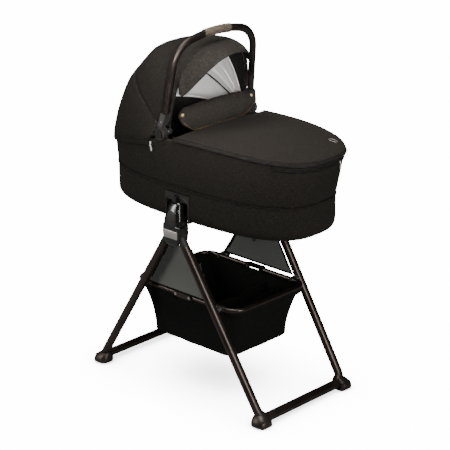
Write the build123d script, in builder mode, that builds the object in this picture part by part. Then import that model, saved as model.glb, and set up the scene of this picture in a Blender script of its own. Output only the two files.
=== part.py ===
"""Bassinet on a folding stand: a carrycot with hood, apron and carry handle, docked on two hubs
of a cross-legged tube frame that also carries a storage basket.

Frame: +X towards the foot end, +Y to the cot's far side, +Z up, floor at z = 0, origin below
the middle of the cot.  Millimetres.
"""
from build123d import *
from math import atan2, copysign, cos, degrees, pi, radians, sin, sqrt, tan
import os

# Overall sizes
COT_HEAD = 409.5  # waist of the cot, from the origin to the head end
COT_FOOT = 397.5  # waist of the cot, from the origin to the foot end
COT_HALF_WIDTH = 198.6
HEAD_FLARE = 14.0  # how much further the top edge reaches than the waist, at the head
FOOT_FLARE = 32.0
SIDE_FLARE = 12.4
COT_BASE_Z = 598.0
WAIST_LOW_Z = 624.0
SEAM_Z = 710.0
EDGE_FOOT_Z = 848.0
EDGE_MIDDLE_Z = 867.0
EDGE_PIVOT_Z = 862.0
EDGE_HEAD_SLOPE = 0.235
BASE_INSET = 28.0
FULLNESS = 2.8  # exponent of the cot's plan outline: 2 is an ellipse, larger is squarer
OUTLINE_STEPS = 16

# Stand
STAND_X = -24.5  # the stand's own middle, which is also where the cot is widest
LEG_APEX_Z = 594.0  # where the two leg lines of one side would cross
LEG_SPREAD = 363.0  # from the stand's middle to a crossbar
CROSSBAR_Z = 22.0
HUB_HALF_SPAN = 210.5  # leg axis to the middle plane, at the hub
FOOT_HALF_SPAN = 198.0
PIVOT_OFFSET = 16.0
TUBE_WIDE = 31.0
TUBE_DEEP = 26.0
TUBE_WALL = 2.0
CORNER_RADIUS = 36.0
FITTING_REACH = 58.0
FOOT_BLOCK = (44.0, 50.0)
FOOT_BLOCK_TOP = 26.0
PAD_THICK = 3.0
PIN_RADIUS = 5.0
RUNNING = 0.05  # radial clearance of a pin that turns
GAP = 0.3  # clearance between pieces that only sit together

# Hub
HUB_BOTTOM_Z = 519.0
HUB_BLOCK_Z = 590.0
HUB_TOP_Z = 665.0
HUB_HALF_WIDTH = 33.0
HUB_TOP_HALF_WIDTH = 25.0
HUB_INNER = 185.0
HUB_OUTER = 227.0
HUB_COVER = 4.0
CHEEK = 8.0
BUTTON_HALF_WIDTH = 22.0
BUTTON_BOTTOM_Z = 598.0
BUTTON_ARCH_Z = 622.0
BUTTON_TRAVEL = 4.0
BUTTON_THICK = 6.0
BUTTON_CLEAR = 0.6
BADGE_Z = (552.0, 590.0)
BADGE_THICK = 1.2
TONGUE = (18.0, 16.0, 18.0)
SOCKET_HALF_WIDTH = 52.0
SOCKET_TOP_Z = 690.0
SOCKET_INNER = 174.0
SOCKET_WALL = 6.0

# Rim and basket
RIM_HALF_LENGTH = 224.6
RIM_HALF_WIDTH = 169.0
RIM_Z = 336.5
RIM_RADIUS = 8.0
RIM_CORNER = 44.0
LINK_HALF = 30.0  # from the middle of the link plate to each of its rivets
LINK_THICK = 3.0
LINK_HALF_HEIGHT = 9.0
RIVET_RADIUS = 2.5
RIM_PIN_RADIUS = 3.5
BASKET_FLOOR_Z = 162.0
BASKET_WALL = 3.0
BASKET_FLOOR_HALF = (182.0, 146.0)
DIVIDERS = (48.0, 112.0)
DIVIDER_TOP_Z = 306.0
MESH_THICK = 1.0
MESH_TOP_Z = 512.0
MESH_BOTTOM_Z = 352.0

# Cot walls and lining
COVER_WALL = 5.0
TUB_WALL = 4.0
TUB_TOP_Z = 700.0
LINER_INSET = 16.5
LINER_WALL = 3.0
MATTRESS_Z = 612.0
MATTRESS_THICK = 38.0
MATTRESS_INSET = 22.0
FRAME_DROP = 16.0  # from the top edge down to the hoop
FRAME_HIGH = 10.0
FRAME_INSET = (6.0, 14.0)
APRON_THICK = 8.0
APRON_START_X = -30.0
PEG_X = (-205.0, 252.0)
PEG_Y = 140.0
PEG_HEIGHT = 12.0
PEG_RADIUS = 8.0

# Handle, hood and visor, all on one axis
PIVOT_X = -83.5
PIVOT_Z = 877.0
HANDLE_ANGLE = 82.0
HANDLE_TOP_R = 306.0
HANDLE_CORNER_R = 280.0
HANDLE_CORNER_Y = 177.0
HANDLE_CORNER_BEND = 92.0
HANDLE_CROWN_BEND = 512.0
HANDLE_FOOT_R = 66.0
HANDLE_FOOT_Y = 195.0
HANDLE_WIDE = 26.0
HANDLE_DEEP = 19.0
GRIP_HALF = 58.0
GRIP_THICK = 2.0
HOUSING_RADIUS = 22.0
HOUSING_Y = (197.0, 205.0)
HOUSING_TAB = 5.5
KNUCKLE_Y = (205.3, 218.0)
KNUCKLE_RADIUS = 20.0
KNUCKLE_GAP = 0.9  # room for the tube ends, which lean in a little
SCREW_RADIUS = 3.4
SCREW_R = 40.0  # from the pivot axis to the screw
SCREW_Y = (211.0, 215.0)
CAP_RADIUS = 14.0
CAP_THICK = 6.0
CAP_TRAVEL = 3.0
PIVOT_PIN_RADIUS = 6.0
RIB_PIN_RADIUS = 4.0
RIB_PIN_Y = 162.0
HOOD_R = 270.0
HOOD_Y = 176.0
HOOD_WALL = 2.5
HOOD_STEP = 3.2  # each hood panel is this much larger than the one in front of it
HOOD_START_R = 16.0
HOOD_FULLNESS = 3.0
ARCH_STEPS = 10
FRONT_PANEL = (80.0, 112.0)
MIDDLE_PANEL = (112.5, 149.5)
REAR_PANEL = (150.0, 202.0)
REAR_HEM_R = 356.0
REAR_HEM_Y = 211.0
RIB_THICK = 4.0
RIB_CLEAR = 1.6
VISOR_ANGLE = (70.0, 81.0)
VISOR_FRONT_R = 236.0
VISOR_WALL = 2.0
VISOR_CLEAR = 0.8

# Wind flap
FLAP_HALF_WIDTH = 166.0
FLAP_SIDE_Z = 945.0
FLAP_TOP_Z = 967.0
FLAP_THICK = 18.0
FLAP_HINGE_X = -16.0
FLAP_LIFT = -3.3
SNAP_RADIUS = 6.0

LEG_ANGLE = degrees(atan2(LEG_SPREAD, LEG_APEX_Z - CROSSBAR_Z))
LEG_PIVOT_Z = LEG_APEX_Z - PIVOT_OFFSET / tan(radians(LEG_ANGLE))
LEG_LENGTH = (LEG_PIVOT_Z - CROSSBAR_Z) / cos(radians(LEG_ANGLE))
LEG_LEAN = (HUB_HALF_SPAN - FOOT_HALF_SPAN) / LEG_LENGTH
RIM_DROP = (LEG_PIVOT_Z - RIM_Z) / cos(radians(LEG_ANGLE))
RIM_PIVOT_X = PIVOT_OFFSET + RIM_DROP * sin(radians(LEG_ANGLE))


def save(piece, label):
    """Names a finished piece and writes it as its own file."""
    piece.part.label = label
    export_step(piece.part, f"parts/{label}.step")


# ---------------------------------------------------------------- stand

def leg_plane(side, along=0.0, span=0.0):
    """The plane of one leg frame: X across the stand, Y up the leg, from a point down the leg."""
    lean = radians(LEG_ANGLE)
    origin = (
        STAND_X + side * (PIVOT_OFFSET + along * sin(lean)),
        span,
        LEG_PIVOT_Z - along * cos(lean),
    )
    return Plane(origin=origin, x_dir=(0, 1, 0), z_dir=(cos(lean), 0, side * sin(lean)))


def leg_span(along):
    """Distance of the leg axis from the middle plane, a given way down from the pivot."""
    return HUB_HALF_SPAN - along * LEG_LEAN


def leg_section_plane(side, y_side, along):
    """The plane square to a leg, at a given way down from its pivot."""
    frame = leg_plane(side)
    start = frame.from_local_coords(Vector(y_side * leg_span(along), -along, 0))
    end = frame.from_local_coords(Vector(y_side * leg_span(along + 1), -along - 1, 0))
    return Plane(origin=start, x_dir=frame.z_dir, z_dir=(end - start).normalized())


def leg_tubes(side):
    """Two oval tubes from the hub collars down to the corner fittings."""
    top = 54.0
    with BuildPart() as tubes:
        for y_side in (-1, 1):
            with BuildSketch(leg_section_plane(side, y_side, top)):
                Ellipse(TUBE_DEEP / 2, TUBE_WIDE / 2)
                Ellipse(TUBE_DEEP / 2 - TUBE_WALL, TUBE_WIDE / 2 - TUBE_WALL, mode=Mode.SUBTRACT)
            extrude(amount=(LEG_LENGTH - FITTING_REACH - top) / cos(atan2(LEG_LEAN, 1)))
    return tubes


def leg_solid(side, y_side):
    """The outside of one leg as a solid, for cutting saddles."""
    plane = leg_section_plane(side, y_side, 60.0)
    return extrude(plane * Ellipse(TUBE_DEEP / 2, TUBE_WIDE / 2), amount=LEG_LENGTH - 160.0)


def leg_collars(side):
    """The moulded leg tops: an eye on the pivot pin, with a collar that the tube ends in."""
    with BuildPart() as collars:
        for y_side in (-1, 1):
            pivot = leg_plane(side).from_local_coords(Vector(y_side * HUB_HALF_SPAN, 0, 0))
            lean = radians(side * LEG_ANGLE)
            across = Plane(origin=pivot, x_dir=(cos(lean), 0, sin(lean)), z_dir=(0, -1, 0))
            with BuildSketch(leg_section_plane(side, y_side, 20.0)):
                Ellipse(TUBE_DEEP / 2, TUBE_WIDE / 2)
            extrude(amount=34.0 / cos(atan2(LEG_LEAN, 1)))
            with BuildSketch(across):
                Circle(TUBE_DEEP / 2)
                with Locations((0, -12.0)):
                    Rectangle(TUBE_DEEP, 24.0)
            extrude(amount=14.5, both=True)
            with BuildSketch(across):
                Circle(PIN_RADIUS + RUNNING)
            extrude(amount=20.0, both=True, mode=Mode.SUBTRACT)
    return collars


def corner_path(side, y_side):
    """The centre line of a corner fitting, in the leg frame's plane."""
    up = LEG_LENGTH - FITTING_REACH
    start = (y_side * leg_span(up), -up)
    corner = (y_side * FOOT_HALF_SPAN, -LEG_LENGTH)
    end = (y_side * (FOOT_HALF_SPAN - FITTING_REACH), -LEG_LENGTH)
    return FilletPolyline(start, corner, end, radius=CORNER_RADIUS)


def corner_fittings(side):
    """Elbows that join leg to crossbar, each with a flat-bottomed block that stands on its pad."""
    up = LEG_LENGTH - FITTING_REACH
    with BuildPart() as fittings:
        for y_side in (-1, 1):
            with BuildLine(leg_plane(side)):
                corner_path(side, y_side)
            with BuildSketch(leg_section_plane(side, y_side, up)):
                Ellipse(TUBE_DEEP / 2, TUBE_WIDE / 2)
            sweep()
            block_x = STAND_X + side * (LEG_SPREAD + 4.0)
            block_y = y_side * (FOOT_HALF_SPAN - 4.0)
            with BuildSketch(Plane.XY.offset(PAD_THICK)):
                with Locations((block_x, block_y)):
                    RectangleRounded(FOOT_BLOCK[0], FOOT_BLOCK[1], 8.0)
            extrude(amount=FOOT_BLOCK_TOP - PAD_THICK, taper=6)
    return fittings


def foot_pads(side):
    """Rubber pads under the corner fittings, the only pieces that touch the floor."""
    with BuildPart() as pads:
        with BuildSketch(Plane.XY):
            for y_side in (-1, 1):
                with Locations((STAND_X + side * (LEG_SPREAD + 4.0), y_side * (FOOT_HALF_SPAN - 4.0))):
                    RectangleRounded(FOOT_BLOCK[0] - 2.0, FOOT_BLOCK[1] - 2.0, 7.0)
        extrude(amount=PAD_THICK)
    return pads


def crossbar(side):
    """The oval tube along the floor between the two corner fittings of a leg frame."""
    half = FOOT_HALF_SPAN - FITTING_REACH
    middle = leg_plane(side, LEG_LENGTH)
    with BuildPart() as bar:
        with BuildSketch(Plane(origin=middle.origin, x_dir=middle.z_dir, z_dir=(0, 1, 0))):
            Ellipse(TUBE_DEEP / 2, TUBE_WIDE / 2)
            Ellipse(TUBE_DEEP / 2 - TUBE_WALL, TUBE_WIDE / 2 - TUBE_WALL, mode=Mode.SUBTRACT)
        extrude(amount=half, both=True)
    return bar


def rim_pivots(side):
    """Shouldered pins on the inside of the legs, which the basket rim turns on."""
    x = STAND_X + side * RIM_PIVOT_X
    face = RIM_HALF_WIDTH + RIM_RADIUS + GAP
    head = RIM_HALF_WIDTH - RIM_RADIUS - GAP
    legs = {y_side: leg_solid(side, y_side) for y_side in (-1, 1)}
    with BuildPart() as pivots:
        for y_side in (-1, 1):
            with BuildSketch(Plane.XZ.offset(-y_side * face)):
                with Locations((x, RIM_Z)):
                    Circle(10.0)
            extrude(amount=-y_side * (leg_span(RIM_DROP) - face))
            add(legs[y_side], mode=Mode.SUBTRACT)
            with BuildSketch(Plane.XZ.offset(-y_side * head)):
                with Locations((x, RIM_Z)):
                    Circle(RIM_PIN_RADIUS)
            extrude(amount=-y_side * (face - head))
            with BuildSketch(Plane.XZ.offset(-y_side * head)):
                with Locations((x, RIM_Z)):
                    Circle(6.0)
            extrude(amount=y_side * 2.0)
    return pivots


def hub_outline(half_bottom, half_top, low, high):
    """A hub's side outline: straight cheeks that draw in above the leg pivots, round corners."""
    with BuildSketch(Plane.XZ) as outline:
        with BuildLine():
            Polyline(
                (STAND_X - half_bottom, low),
                (STAND_X + half_bottom, low),
                (STAND_X + half_bottom, HUB_BLOCK_Z + 12.0),
                (STAND_X + half_top, high),
                (STAND_X - half_top, high),
                (STAND_X - half_bottom, HUB_BLOCK_Z + 12.0),
                close=True,
            )
        make_face()
        fillet(outline.vertices(), 8.0)
    return outline.sketch


def button_outline(clear=0.0):
    """An arched panel: flat below, half round above."""
    half = BUTTON_HALF_WIDTH + clear
    low = BUTTON_BOTTOM_Z - clear
    with BuildSketch(Plane.XZ) as outline:
        with BuildLine():
            Line((STAND_X - half, low), (STAND_X + half, low))
            Line((STAND_X + half, low), (STAND_X + half, BUTTON_ARCH_Z))
            ThreePointArc(
                (STAND_X + half, BUTTON_ARCH_Z),
                (STAND_X, BUTTON_ARCH_Z + half),
                (STAND_X - half, BUTTON_ARCH_Z),
            )
            Line((STAND_X - half, BUTTON_ARCH_Z), (STAND_X - half, low))
        make_face()
    return outline.sketch


def slab(sketch, near, far, y_side):
    """A sketch in the XZ plane made solid between two distances from the middle plane."""
    solid = extrude(Pos(0, near, 0) * sketch, amount=far - near, dir=(0, 1, 0))
    return solid if y_side > 0 else mirror(solid, about=Plane.XZ)


def hub_frames():
    """The load-bearing hub bodies: a block with one cheek down the inside of the legs."""
    body = hub_outline(HUB_HALF_WIDTH, HUB_TOP_HALF_WIDTH, HUB_BOTTOM_Z, HUB_TOP_Z)
    depth = BUTTON_THICK - HUB_COVER + BUTTON_TRAVEL + 2.0
    blocks = {y_side: slab(body, HUB_INNER, HUB_OUTER, y_side) for y_side in (-1, 1)}
    pocket = button_outline(1.0)
    pockets = {y_side: slab(pocket, HUB_OUTER - depth, HUB_OUTER, y_side) for y_side in (-1, 1)}
    with BuildPart() as hubs:
        for y_side in (-1, 1):
            add(blocks[y_side])
            with Locations((STAND_X, y_side * (HUB_INNER + CHEEK + 50.0), HUB_BLOCK_Z - 50.0)):
                Box(3 * HUB_HALF_WIDTH, 100.0, 100.0, mode=Mode.SUBTRACT)
            add(pockets[y_side], mode=Mode.SUBTRACT)
            for side in (-1, 1):
                with BuildSketch(Plane.XZ.offset(-y_side * HUB_INNER)):
                    with Locations((STAND_X + side * PIVOT_OFFSET, LEG_PIVOT_Z)):
                        Circle(PIN_RADIUS)
                extrude(amount=-y_side * CHEEK, mode=Mode.SUBTRACT)
    return hubs


def hub_covers():
    """Outer covers of the hubs, with an arched window for the button."""
    body = hub_outline(HUB_HALF_WIDTH, HUB_TOP_HALF_WIDTH, HUB_BOTTOM_Z, HUB_TOP_Z)
    plates = {y_side: slab(body, HUB_OUTER, HUB_OUTER + HUB_COVER, y_side) for y_side in (-1, 1)}
    arch = button_outline(BUTTON_CLEAR)
    windows = {y_side: slab(arch, HUB_OUTER - 1, HUB_OUTER + 9, y_side) for y_side in (-1, 1)}
    with BuildPart() as covers:
        for y_side in (-1, 1):
            add(plates[y_side])
            add(windows[y_side], mode=Mode.SUBTRACT)
            for side in (-1, 1):
                with BuildSketch(Plane.XZ.offset(-y_side * (HUB_OUTER - 0.5))):
                    with Locations((STAND_X + side * PIVOT_OFFSET, LEG_PIVOT_Z)):
                        Circle(PIN_RADIUS)
                extrude(amount=-y_side * 2.0, mode=Mode.SUBTRACT)
    return covers


def hub_badges():
    """Plain metal plates on the hub covers, below the buttons."""
    outer = HUB_OUTER + HUB_COVER
    with BuildPart() as badges:
        for y_side in (-1, 1):
            with BuildSketch(Plane.XZ.offset(-y_side * outer)):
                with Locations((STAND_X, sum(BADGE_Z) / 2)):
                    RectangleRounded(2 * HUB_HALF_WIDTH - 8.0, BADGE_Z[1] - BADGE_Z[0], 4.0)
            extrude(amount=-y_side * BADGE_THICK)
    return badges


def leg_pivot_pins():
    """Four steel pins, one through each leg top, held between a hub's cheek and its cover."""
    with BuildPart() as pins:
        for y_side in (-1, 1):
            for side in (-1, 1):
                with BuildSketch(Plane.XZ.offset(-y_side * HUB_INNER)):
                    with Locations((STAND_X + side * PIVOT_OFFSET, LEG_PIVOT_Z)):
                        Circle(PIN_RADIUS)
                extrude(amount=-y_side * (HUB_OUTER + 1.5 - HUB_INNER))
    return pins


def fold_button(y_side):
    """The arched release button in a hub cover, which pushes straight in."""
    face = HUB_OUTER + HUB_COVER
    plate = slab(button_outline(), face - BUTTON_THICK, face + 0.6, y_side)
    with BuildPart() as button:
        add(plate)
    return button


def button_springs():
    """Coil springs behind the hub buttons, as plain hollow cylinders."""
    depth = BUTTON_THICK - HUB_COVER + BUTTON_TRAVEL + 2.0
    back = HUB_OUTER + HUB_COVER - BUTTON_THICK
    with BuildPart() as springs:
        for y_side in (-1, 1):
            with BuildSketch(Plane.XZ.offset(-y_side * (HUB_OUTER - depth))):
                with Locations((STAND_X, BUTTON_ARCH_Z)):
                    Circle(7.0)
                    Circle(5.5, mode=Mode.SUBTRACT)
            extrude(amount=-y_side * (back - HUB_OUTER + depth - GAP))
    return springs


def docking_tongues():
    """Tongues on top of the hubs that the cot's side sockets drop over."""
    middle = (HUB_INNER + HUB_OUTER) / 2
    with BuildPart() as tongues:
        with BuildSketch(Plane.XY.offset(HUB_TOP_Z)):
            for y_side in (-1, 1):
                with Locations((STAND_X, y_side * middle)):
                    RectangleRounded(TONGUE[0], TONGUE[1], 3.0)
        extrude(amount=TONGUE[2], taper=3)
    return tongues


# ---------------------------------------------------------------- basket rim and basket

def rim_half(side):
    """Half of the basket rim: a U of round tube with a flat tongue at each open end."""
    end = LINK_HALF + 8.0
    outer = STAND_X + side * RIM_HALF_LENGTH
    with BuildPart() as rim:
        with BuildLine(Plane.XY.offset(RIM_Z)):
            FilletPolyline(
                (STAND_X + side * end, -RIM_HALF_WIDTH),
                (outer, -RIM_HALF_WIDTH),
                (outer, RIM_HALF_WIDTH),
                (STAND_X + side * end, RIM_HALF_WIDTH),
                radius=RIM_CORNER,
            )
        start = Plane(
            origin=(STAND_X + side * end, -RIM_HALF_WIDTH, RIM_Z), x_dir=(0, 1, 0), z_dir=(side, 0, 0)
        )
        with BuildSketch(start):
            Circle(RIM_RADIUS)
        sweep()
        for y_side in (-1, 1):
            with BuildSketch(Plane.XZ.offset(-y_side * RIM_HALF_WIDTH)):
                with Locations((STAND_X + side * LINK_HALF, RIM_Z)):
                    Circle(RIM_RADIUS - 0.5)
                with Locations((STAND_X + side * (LINK_HALF + 5.0), RIM_Z)):
                    Rectangle(10.0, 2 * RIM_RADIUS - 1.0)
            extrude(amount=RIM_RADIUS, both=True)
            with BuildSketch(Plane.XZ.offset(-y_side * RIM_HALF_WIDTH)):
                with Locations((STAND_X + side * LINK_HALF, RIM_Z)):
                    Circle(RIVET_RADIUS + RUNNING)
                with Locations((STAND_X + side * RIM_PIVOT_X, RIM_Z)):
                    Circle(RIM_PIN_RADIUS + RUNNING)
            extrude(amount=2 * RIM_RADIUS, both=True, mode=Mode.SUBTRACT)
    return rim


def link_plates():
    """Short plates outside the rim that join its two halves at the middle of each long side."""
    face = RIM_HALF_WIDTH + RIM_RADIUS + GAP
    with BuildPart() as plates:
        for y_side in (-1, 1):
            with BuildSketch(Plane.XZ.offset(-y_side * face)):
                with Locations((STAND_X, RIM_Z)):
                    SlotCenterToCenter(2 * LINK_HALF, 2 * LINK_HALF_HEIGHT)
            extrude(amount=-y_side * LINK_THICK)
    return plates


def link_rivets():
    """Rivets of the link plates: long ones through the head half, heads alone over the other."""
    face = RIM_HALF_WIDTH + RIM_RADIUS + GAP
    inner = RIM_HALF_WIDTH - RIM_RADIUS - GAP
    with BuildPart() as rivets:
        for y_side in (-1, 1):
            for x in (STAND_X - LINK_HALF, STAND_X + LINK_HALF):
                with BuildSketch(Plane.XZ.offset(-y_side * (face + LINK_THICK))):
                    with Locations((x, RIM_Z)):
                        Circle(5.0)
                extrude(amount=-y_side * 1.6)
            with BuildSketch(Plane.XZ.offset(-y_side * inner)):
                with Locations((STAND_X - LINK_HALF, RIM_Z)):
                    Circle(RIVET_RADIUS)
            extrude(amount=-y_side * (face - inner))
            with BuildSketch(Plane.XZ.offset(-y_side * inner)):
                with Locations((STAND_X - LINK_HALF, RIM_Z)):
                    Circle(4.5)
            extrude(amount=y_side * 1.5)
    return rivets


def basket():
    """The fabric basket under the rim: slanted walls, flat floor, open top."""
    top = RIM_Z - RIM_RADIUS - GAP
    half = (RIM_HALF_LENGTH + BASKET_WALL / 2, RIM_HALF_WIDTH + BASKET_WALL / 2)
    low = BASKET_FLOOR_HALF
    with BuildPart() as bag:
        for inset, floor, mode in ((0.0, 0.0, Mode.ADD), (BASKET_WALL, BASKET_WALL, Mode.SUBTRACT)):
            with BuildSketch(Plane.XY.offset(BASKET_FLOOR_Z + floor)):
                with Locations((STAND_X, 0)):
                    RectangleRounded(2 * (low[0] - inset), 2 * (low[1] - inset), RIM_CORNER - inset)
            with BuildSketch(Plane.XY.offset(top)):
                with Locations((STAND_X, 0)):
                    RectangleRounded(2 * (half[0] - inset), 2 * (half[1] - inset), RIM_CORNER - inset)
            loft(mode=mode)
    return bag


def basket_dividers():
    """Two fabric partitions across the foot half of the basket."""
    low = BASKET_FLOOR_Z + BASKET_WALL + GAP
    slope = (RIM_HALF_WIDTH - BASKET_FLOOR_HALF[1]) / (RIM_Z - BASKET_FLOOR_Z)
    bottom = BASKET_FLOOR_HALF[1] - BASKET_WALL - 1.0
    top = bottom + slope * (DIVIDER_TOP_Z - low)
    with BuildPart() as dividers:
        for x in DIVIDERS:
            with BuildSketch(Plane.YZ.offset(STAND_X + x)):
                with BuildLine():
                    Polyline((-bottom, low), (bottom, low), (top, DIVIDER_TOP_Z), (-top, DIVIDER_TOP_Z),
                             close=True)
                make_face()
            extrude(amount=BASKET_WALL / 2, both=True)
    return dividers


def side_mesh_panels():
    """Mesh triangles behind the legs of each side, from the hub down to the rim."""
    drop = (LEG_PIVOT_Z - MESH_TOP_Z, LEG_PIVOT_Z - MESH_BOTTOM_Z)
    spread = tan(radians(LEG_ANGLE))
    half = [PIVOT_OFFSET + d * spread for d in drop]
    inner = [leg_span(d / cos(radians(LEG_ANGLE))) - TUBE_WIDE / 2 - 0.6 for d in drop]
    with BuildPart() as panels:
        for y_side in (-1, 1):
            low = Vector(STAND_X, y_side * inner[1], MESH_BOTTOM_Z)
            up = Vector(0, y_side * (inner[0] - inner[1]), MESH_TOP_Z - MESH_BOTTOM_Z)
            face = Plane(origin=low, x_dir=(1, 0, 0), z_dir=Vector(1, 0, 0).cross(up))
            with BuildSketch(face):
                with BuildLine():
                    Polyline((-half[1], 0), (half[1], 0), (half[0], up.length), (-half[0], up.length),
                             close=True)
                make_face()
            extrude(amount=y_side * MESH_THICK)
    return panels


# ---------------------------------------------------------------- cot

def cot_outline(inset, rise, z):
    """The cot's plan outline at a height: rise is 0 at the waist and 1 at the top edge."""
    head = COT_HEAD + rise * HEAD_FLARE - inset + STAND_X
    foot = COT_FOOT + rise * FOOT_FLARE - inset - STAND_X
    half = COT_HALF_WIDTH + rise * SIDE_FLARE - inset
    points = []
    for step in range(OUTLINE_STEPS):
        across = sin(2 * pi * step / OUTLINE_STEPS)
        along = cos(2 * pi * step / OUTLINE_STEPS)
        long = foot if along > 0 else head
        x = copysign(long * abs(along) ** (2 / FULLNESS), along)
        y = copysign(half * abs(across) ** (2 / FULLNESS), across)
        points.append((STAND_X + x, y))
    with BuildSketch(Plane.XY.offset(z)) as outline:
        with BuildLine():
            Spline(*points, periodic=True)
        make_face()
    return outline.sketch


def rise_at(z):
    """How far between the waist and the top edge a height is."""
    return max(0.0, (z - SEAM_Z) / (EDGE_MIDDLE_Z - SEAM_Z))


def cot_prism(inset, low, high):
    """The cot's inside or outside as a solid between two heights, at an inset from its skin."""
    if high > SEAM_Z:
        start = max(low, SEAM_Z)
        walls = loft([cot_outline(inset, rise_at(start), start), cot_outline(inset, rise_at(high), high)])
        return walls if low >= SEAM_Z else walls + cot_prism(inset, low, SEAM_Z)
    return extrude(cot_outline(inset, 0, low), amount=high - low)


def tub_prism(inset, low):
    """The lower body below the seam: a narrower flat base, then upright walls."""
    base = COT_BASE_Z + low
    foot = loft([cot_outline(BASE_INSET + inset, 0, base), cot_outline(inset, 0, WAIST_LOW_Z + low)])
    return foot + extrude(cot_outline(inset, 0, WAIST_LOW_Z + low), amount=SEAM_Z - WAIST_LOW_Z - low)


def edge_profile(lift, depth):
    """A band under the cot's top edge line, in side view: lift raises it, depth is its height."""
    reach = 520.0
    head_z = EDGE_PIVOT_Z - (PIVOT_X + reach) * EDGE_HEAD_SLOPE + lift
    with BuildSketch(Plane.XZ) as band:
        with BuildLine():
            Line((-reach, head_z), (PIVOT_X, EDGE_PIVOT_Z + lift))
            ThreePointArc(
                (PIVOT_X, EDGE_PIVOT_Z + lift),
                (COT_FOOT / 3, EDGE_MIDDLE_Z + lift),
                (reach, EDGE_FOOT_Z - 10.0 + lift),
            )
            Line((reach, EDGE_FOOT_Z - 10.0 + lift), (reach, EDGE_FOOT_Z - 10.0 + lift - depth))
            if depth < 50.0:
                ThreePointArc(
                    (reach, EDGE_FOOT_Z - 10.0 + lift - depth),
                    (COT_FOOT / 3, EDGE_MIDDLE_Z + lift - depth),
                    (PIVOT_X, EDGE_PIVOT_Z + lift - depth),
                )
                Line((PIVOT_X, EDGE_PIVOT_Z + lift - depth), (-reach, head_z - depth))
            else:
                Line((reach, EDGE_FOOT_Z - 10.0 + lift - depth), (-reach, head_z - depth))
            Line((-reach, head_z - depth), (-reach, head_z))
        make_face()
    return extrude(band.sketch, amount=300.0, both=True)


def socket_zone(clear):
    """The space that the side sockets take in the cot's walls."""
    width = 2 * (SOCKET_HALF_WIDTH + clear)
    height = SOCKET_TOP_Z - COT_BASE_Z + clear
    zone = Pos(STAND_X, 0, COT_BASE_Z - 10.0) * Box(
        width, 600.0, height + 10.0, align=(Align.CENTER, Align.CENTER, Align.MIN)
    )
    return zone - Box(2 * width, 2 * (SOCKET_INNER - clear), 3 * SOCKET_TOP_Z)


def pivot_notch():
    """Room for the handle knuckles at the top edge."""
    disc = Rot(90, 0, 0) * Cylinder(KNUCKLE_RADIUS + 4.0, 600.0)
    gap = Pos(PIVOT_X, 0, PIVOT_Z) * disc
    return gap - Box(1000.0, 2 * (HOUSING_Y[1] - 4.0), 3 * PIVOT_Z)


def lower_cover():
    """The fabric-covered lower skin, from the base up to the seam."""
    outside = tub_prism(0.0, 0.0)
    inside = tub_prism(COVER_WALL, COVER_WALL)
    sockets = socket_zone(GAP)
    with BuildPart() as cover:
        add(outside)
        add(inside, mode=Mode.SUBTRACT)
        add(sockets, mode=Mode.SUBTRACT)
    return cover


def base_tub():
    """The hard tub inside the lower skin, which carries the sockets and the base pegs."""
    inset = COVER_WALL + GAP
    outside = tub_prism(inset, inset)
    inside = tub_prism(inset + TUB_WALL, inset + TUB_WALL)
    sockets = socket_zone(0.0)
    with BuildPart() as tub:
        add(outside)
        add(inside, mode=Mode.SUBTRACT)
        with Locations((STAND_X, 0, TUB_TOP_Z + 50.0)):
            Box(1200.0, 600.0, 100.0, mode=Mode.SUBTRACT)
        add(sockets, mode=Mode.SUBTRACT)
    return tub


def base_pegs():
    """Four pegs under the base that the cot stands on when it is off its stand."""
    with BuildPart() as pegs:
        with BuildSketch(Plane.XY.offset(COT_BASE_Z)):
            for x in PEG_X:
                for y_side in (-1, 1):
                    with Locations((x, y_side * PEG_Y)):
                        Circle(PEG_RADIUS)
        extrude(amount=-PEG_HEIGHT, taper=6)
    return pegs


def side_sockets():
    """Moulded sockets in the cot's sides that drop over the hubs."""
    rest_z = HUB_TOP_Z + GAP
    outer = COT_HALF_WIDTH + 2.0
    width = SOCKET_HALF_WIDTH - SOCKET_WALL
    middle = (HUB_INNER + HUB_OUTER) / 2
    with BuildPart() as sockets:
        for y_side in (-1, 1):
            with Locations((STAND_X, y_side * (SOCKET_INNER + outer) / 2, COT_BASE_Z + 2.0)):
                Box(2 * SOCKET_HALF_WIDTH, outer - SOCKET_INNER, SOCKET_TOP_Z - COT_BASE_Z - 2.0,
                    align=(Align.CENTER, Align.CENTER, Align.MIN))
            with Locations((STAND_X, y_side * (SOCKET_INNER + SOCKET_WALL + 50.0), COT_BASE_Z)):
                Box(2 * width, 100.0, rest_z - COT_BASE_Z,
                    align=(Align.CENTER, Align.CENTER, Align.MIN), mode=Mode.SUBTRACT)
            with Locations((STAND_X, y_side * middle, rest_z)):
                Box(TONGUE[0] + 2.0, TONGUE[1] + 2.0, TONGUE[2] + 2.0,
                    align=(Align.CENTER, Align.CENTER, Align.MIN), mode=Mode.SUBTRACT)
    return sockets


def upper_cover():
    """The padded fabric skin above the seam, flared, cut along the top edge line."""
    outside = cot_prism(0.0, SEAM_Z + GAP, EDGE_MIDDLE_Z + 20.0)
    inside = cot_prism(COVER_WALL, SEAM_Z - 1.0, EDGE_MIDDLE_Z + 21.0)
    below_edge = edge_profile(0.0, 260.0)
    notch = pivot_notch()
    with BuildPart() as cover:
        add(outside)
        add(inside, mode=Mode.SUBTRACT)
        add(below_edge, mode=Mode.INTERSECT)
        add(notch, mode=Mode.SUBTRACT)
    return cover


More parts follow.
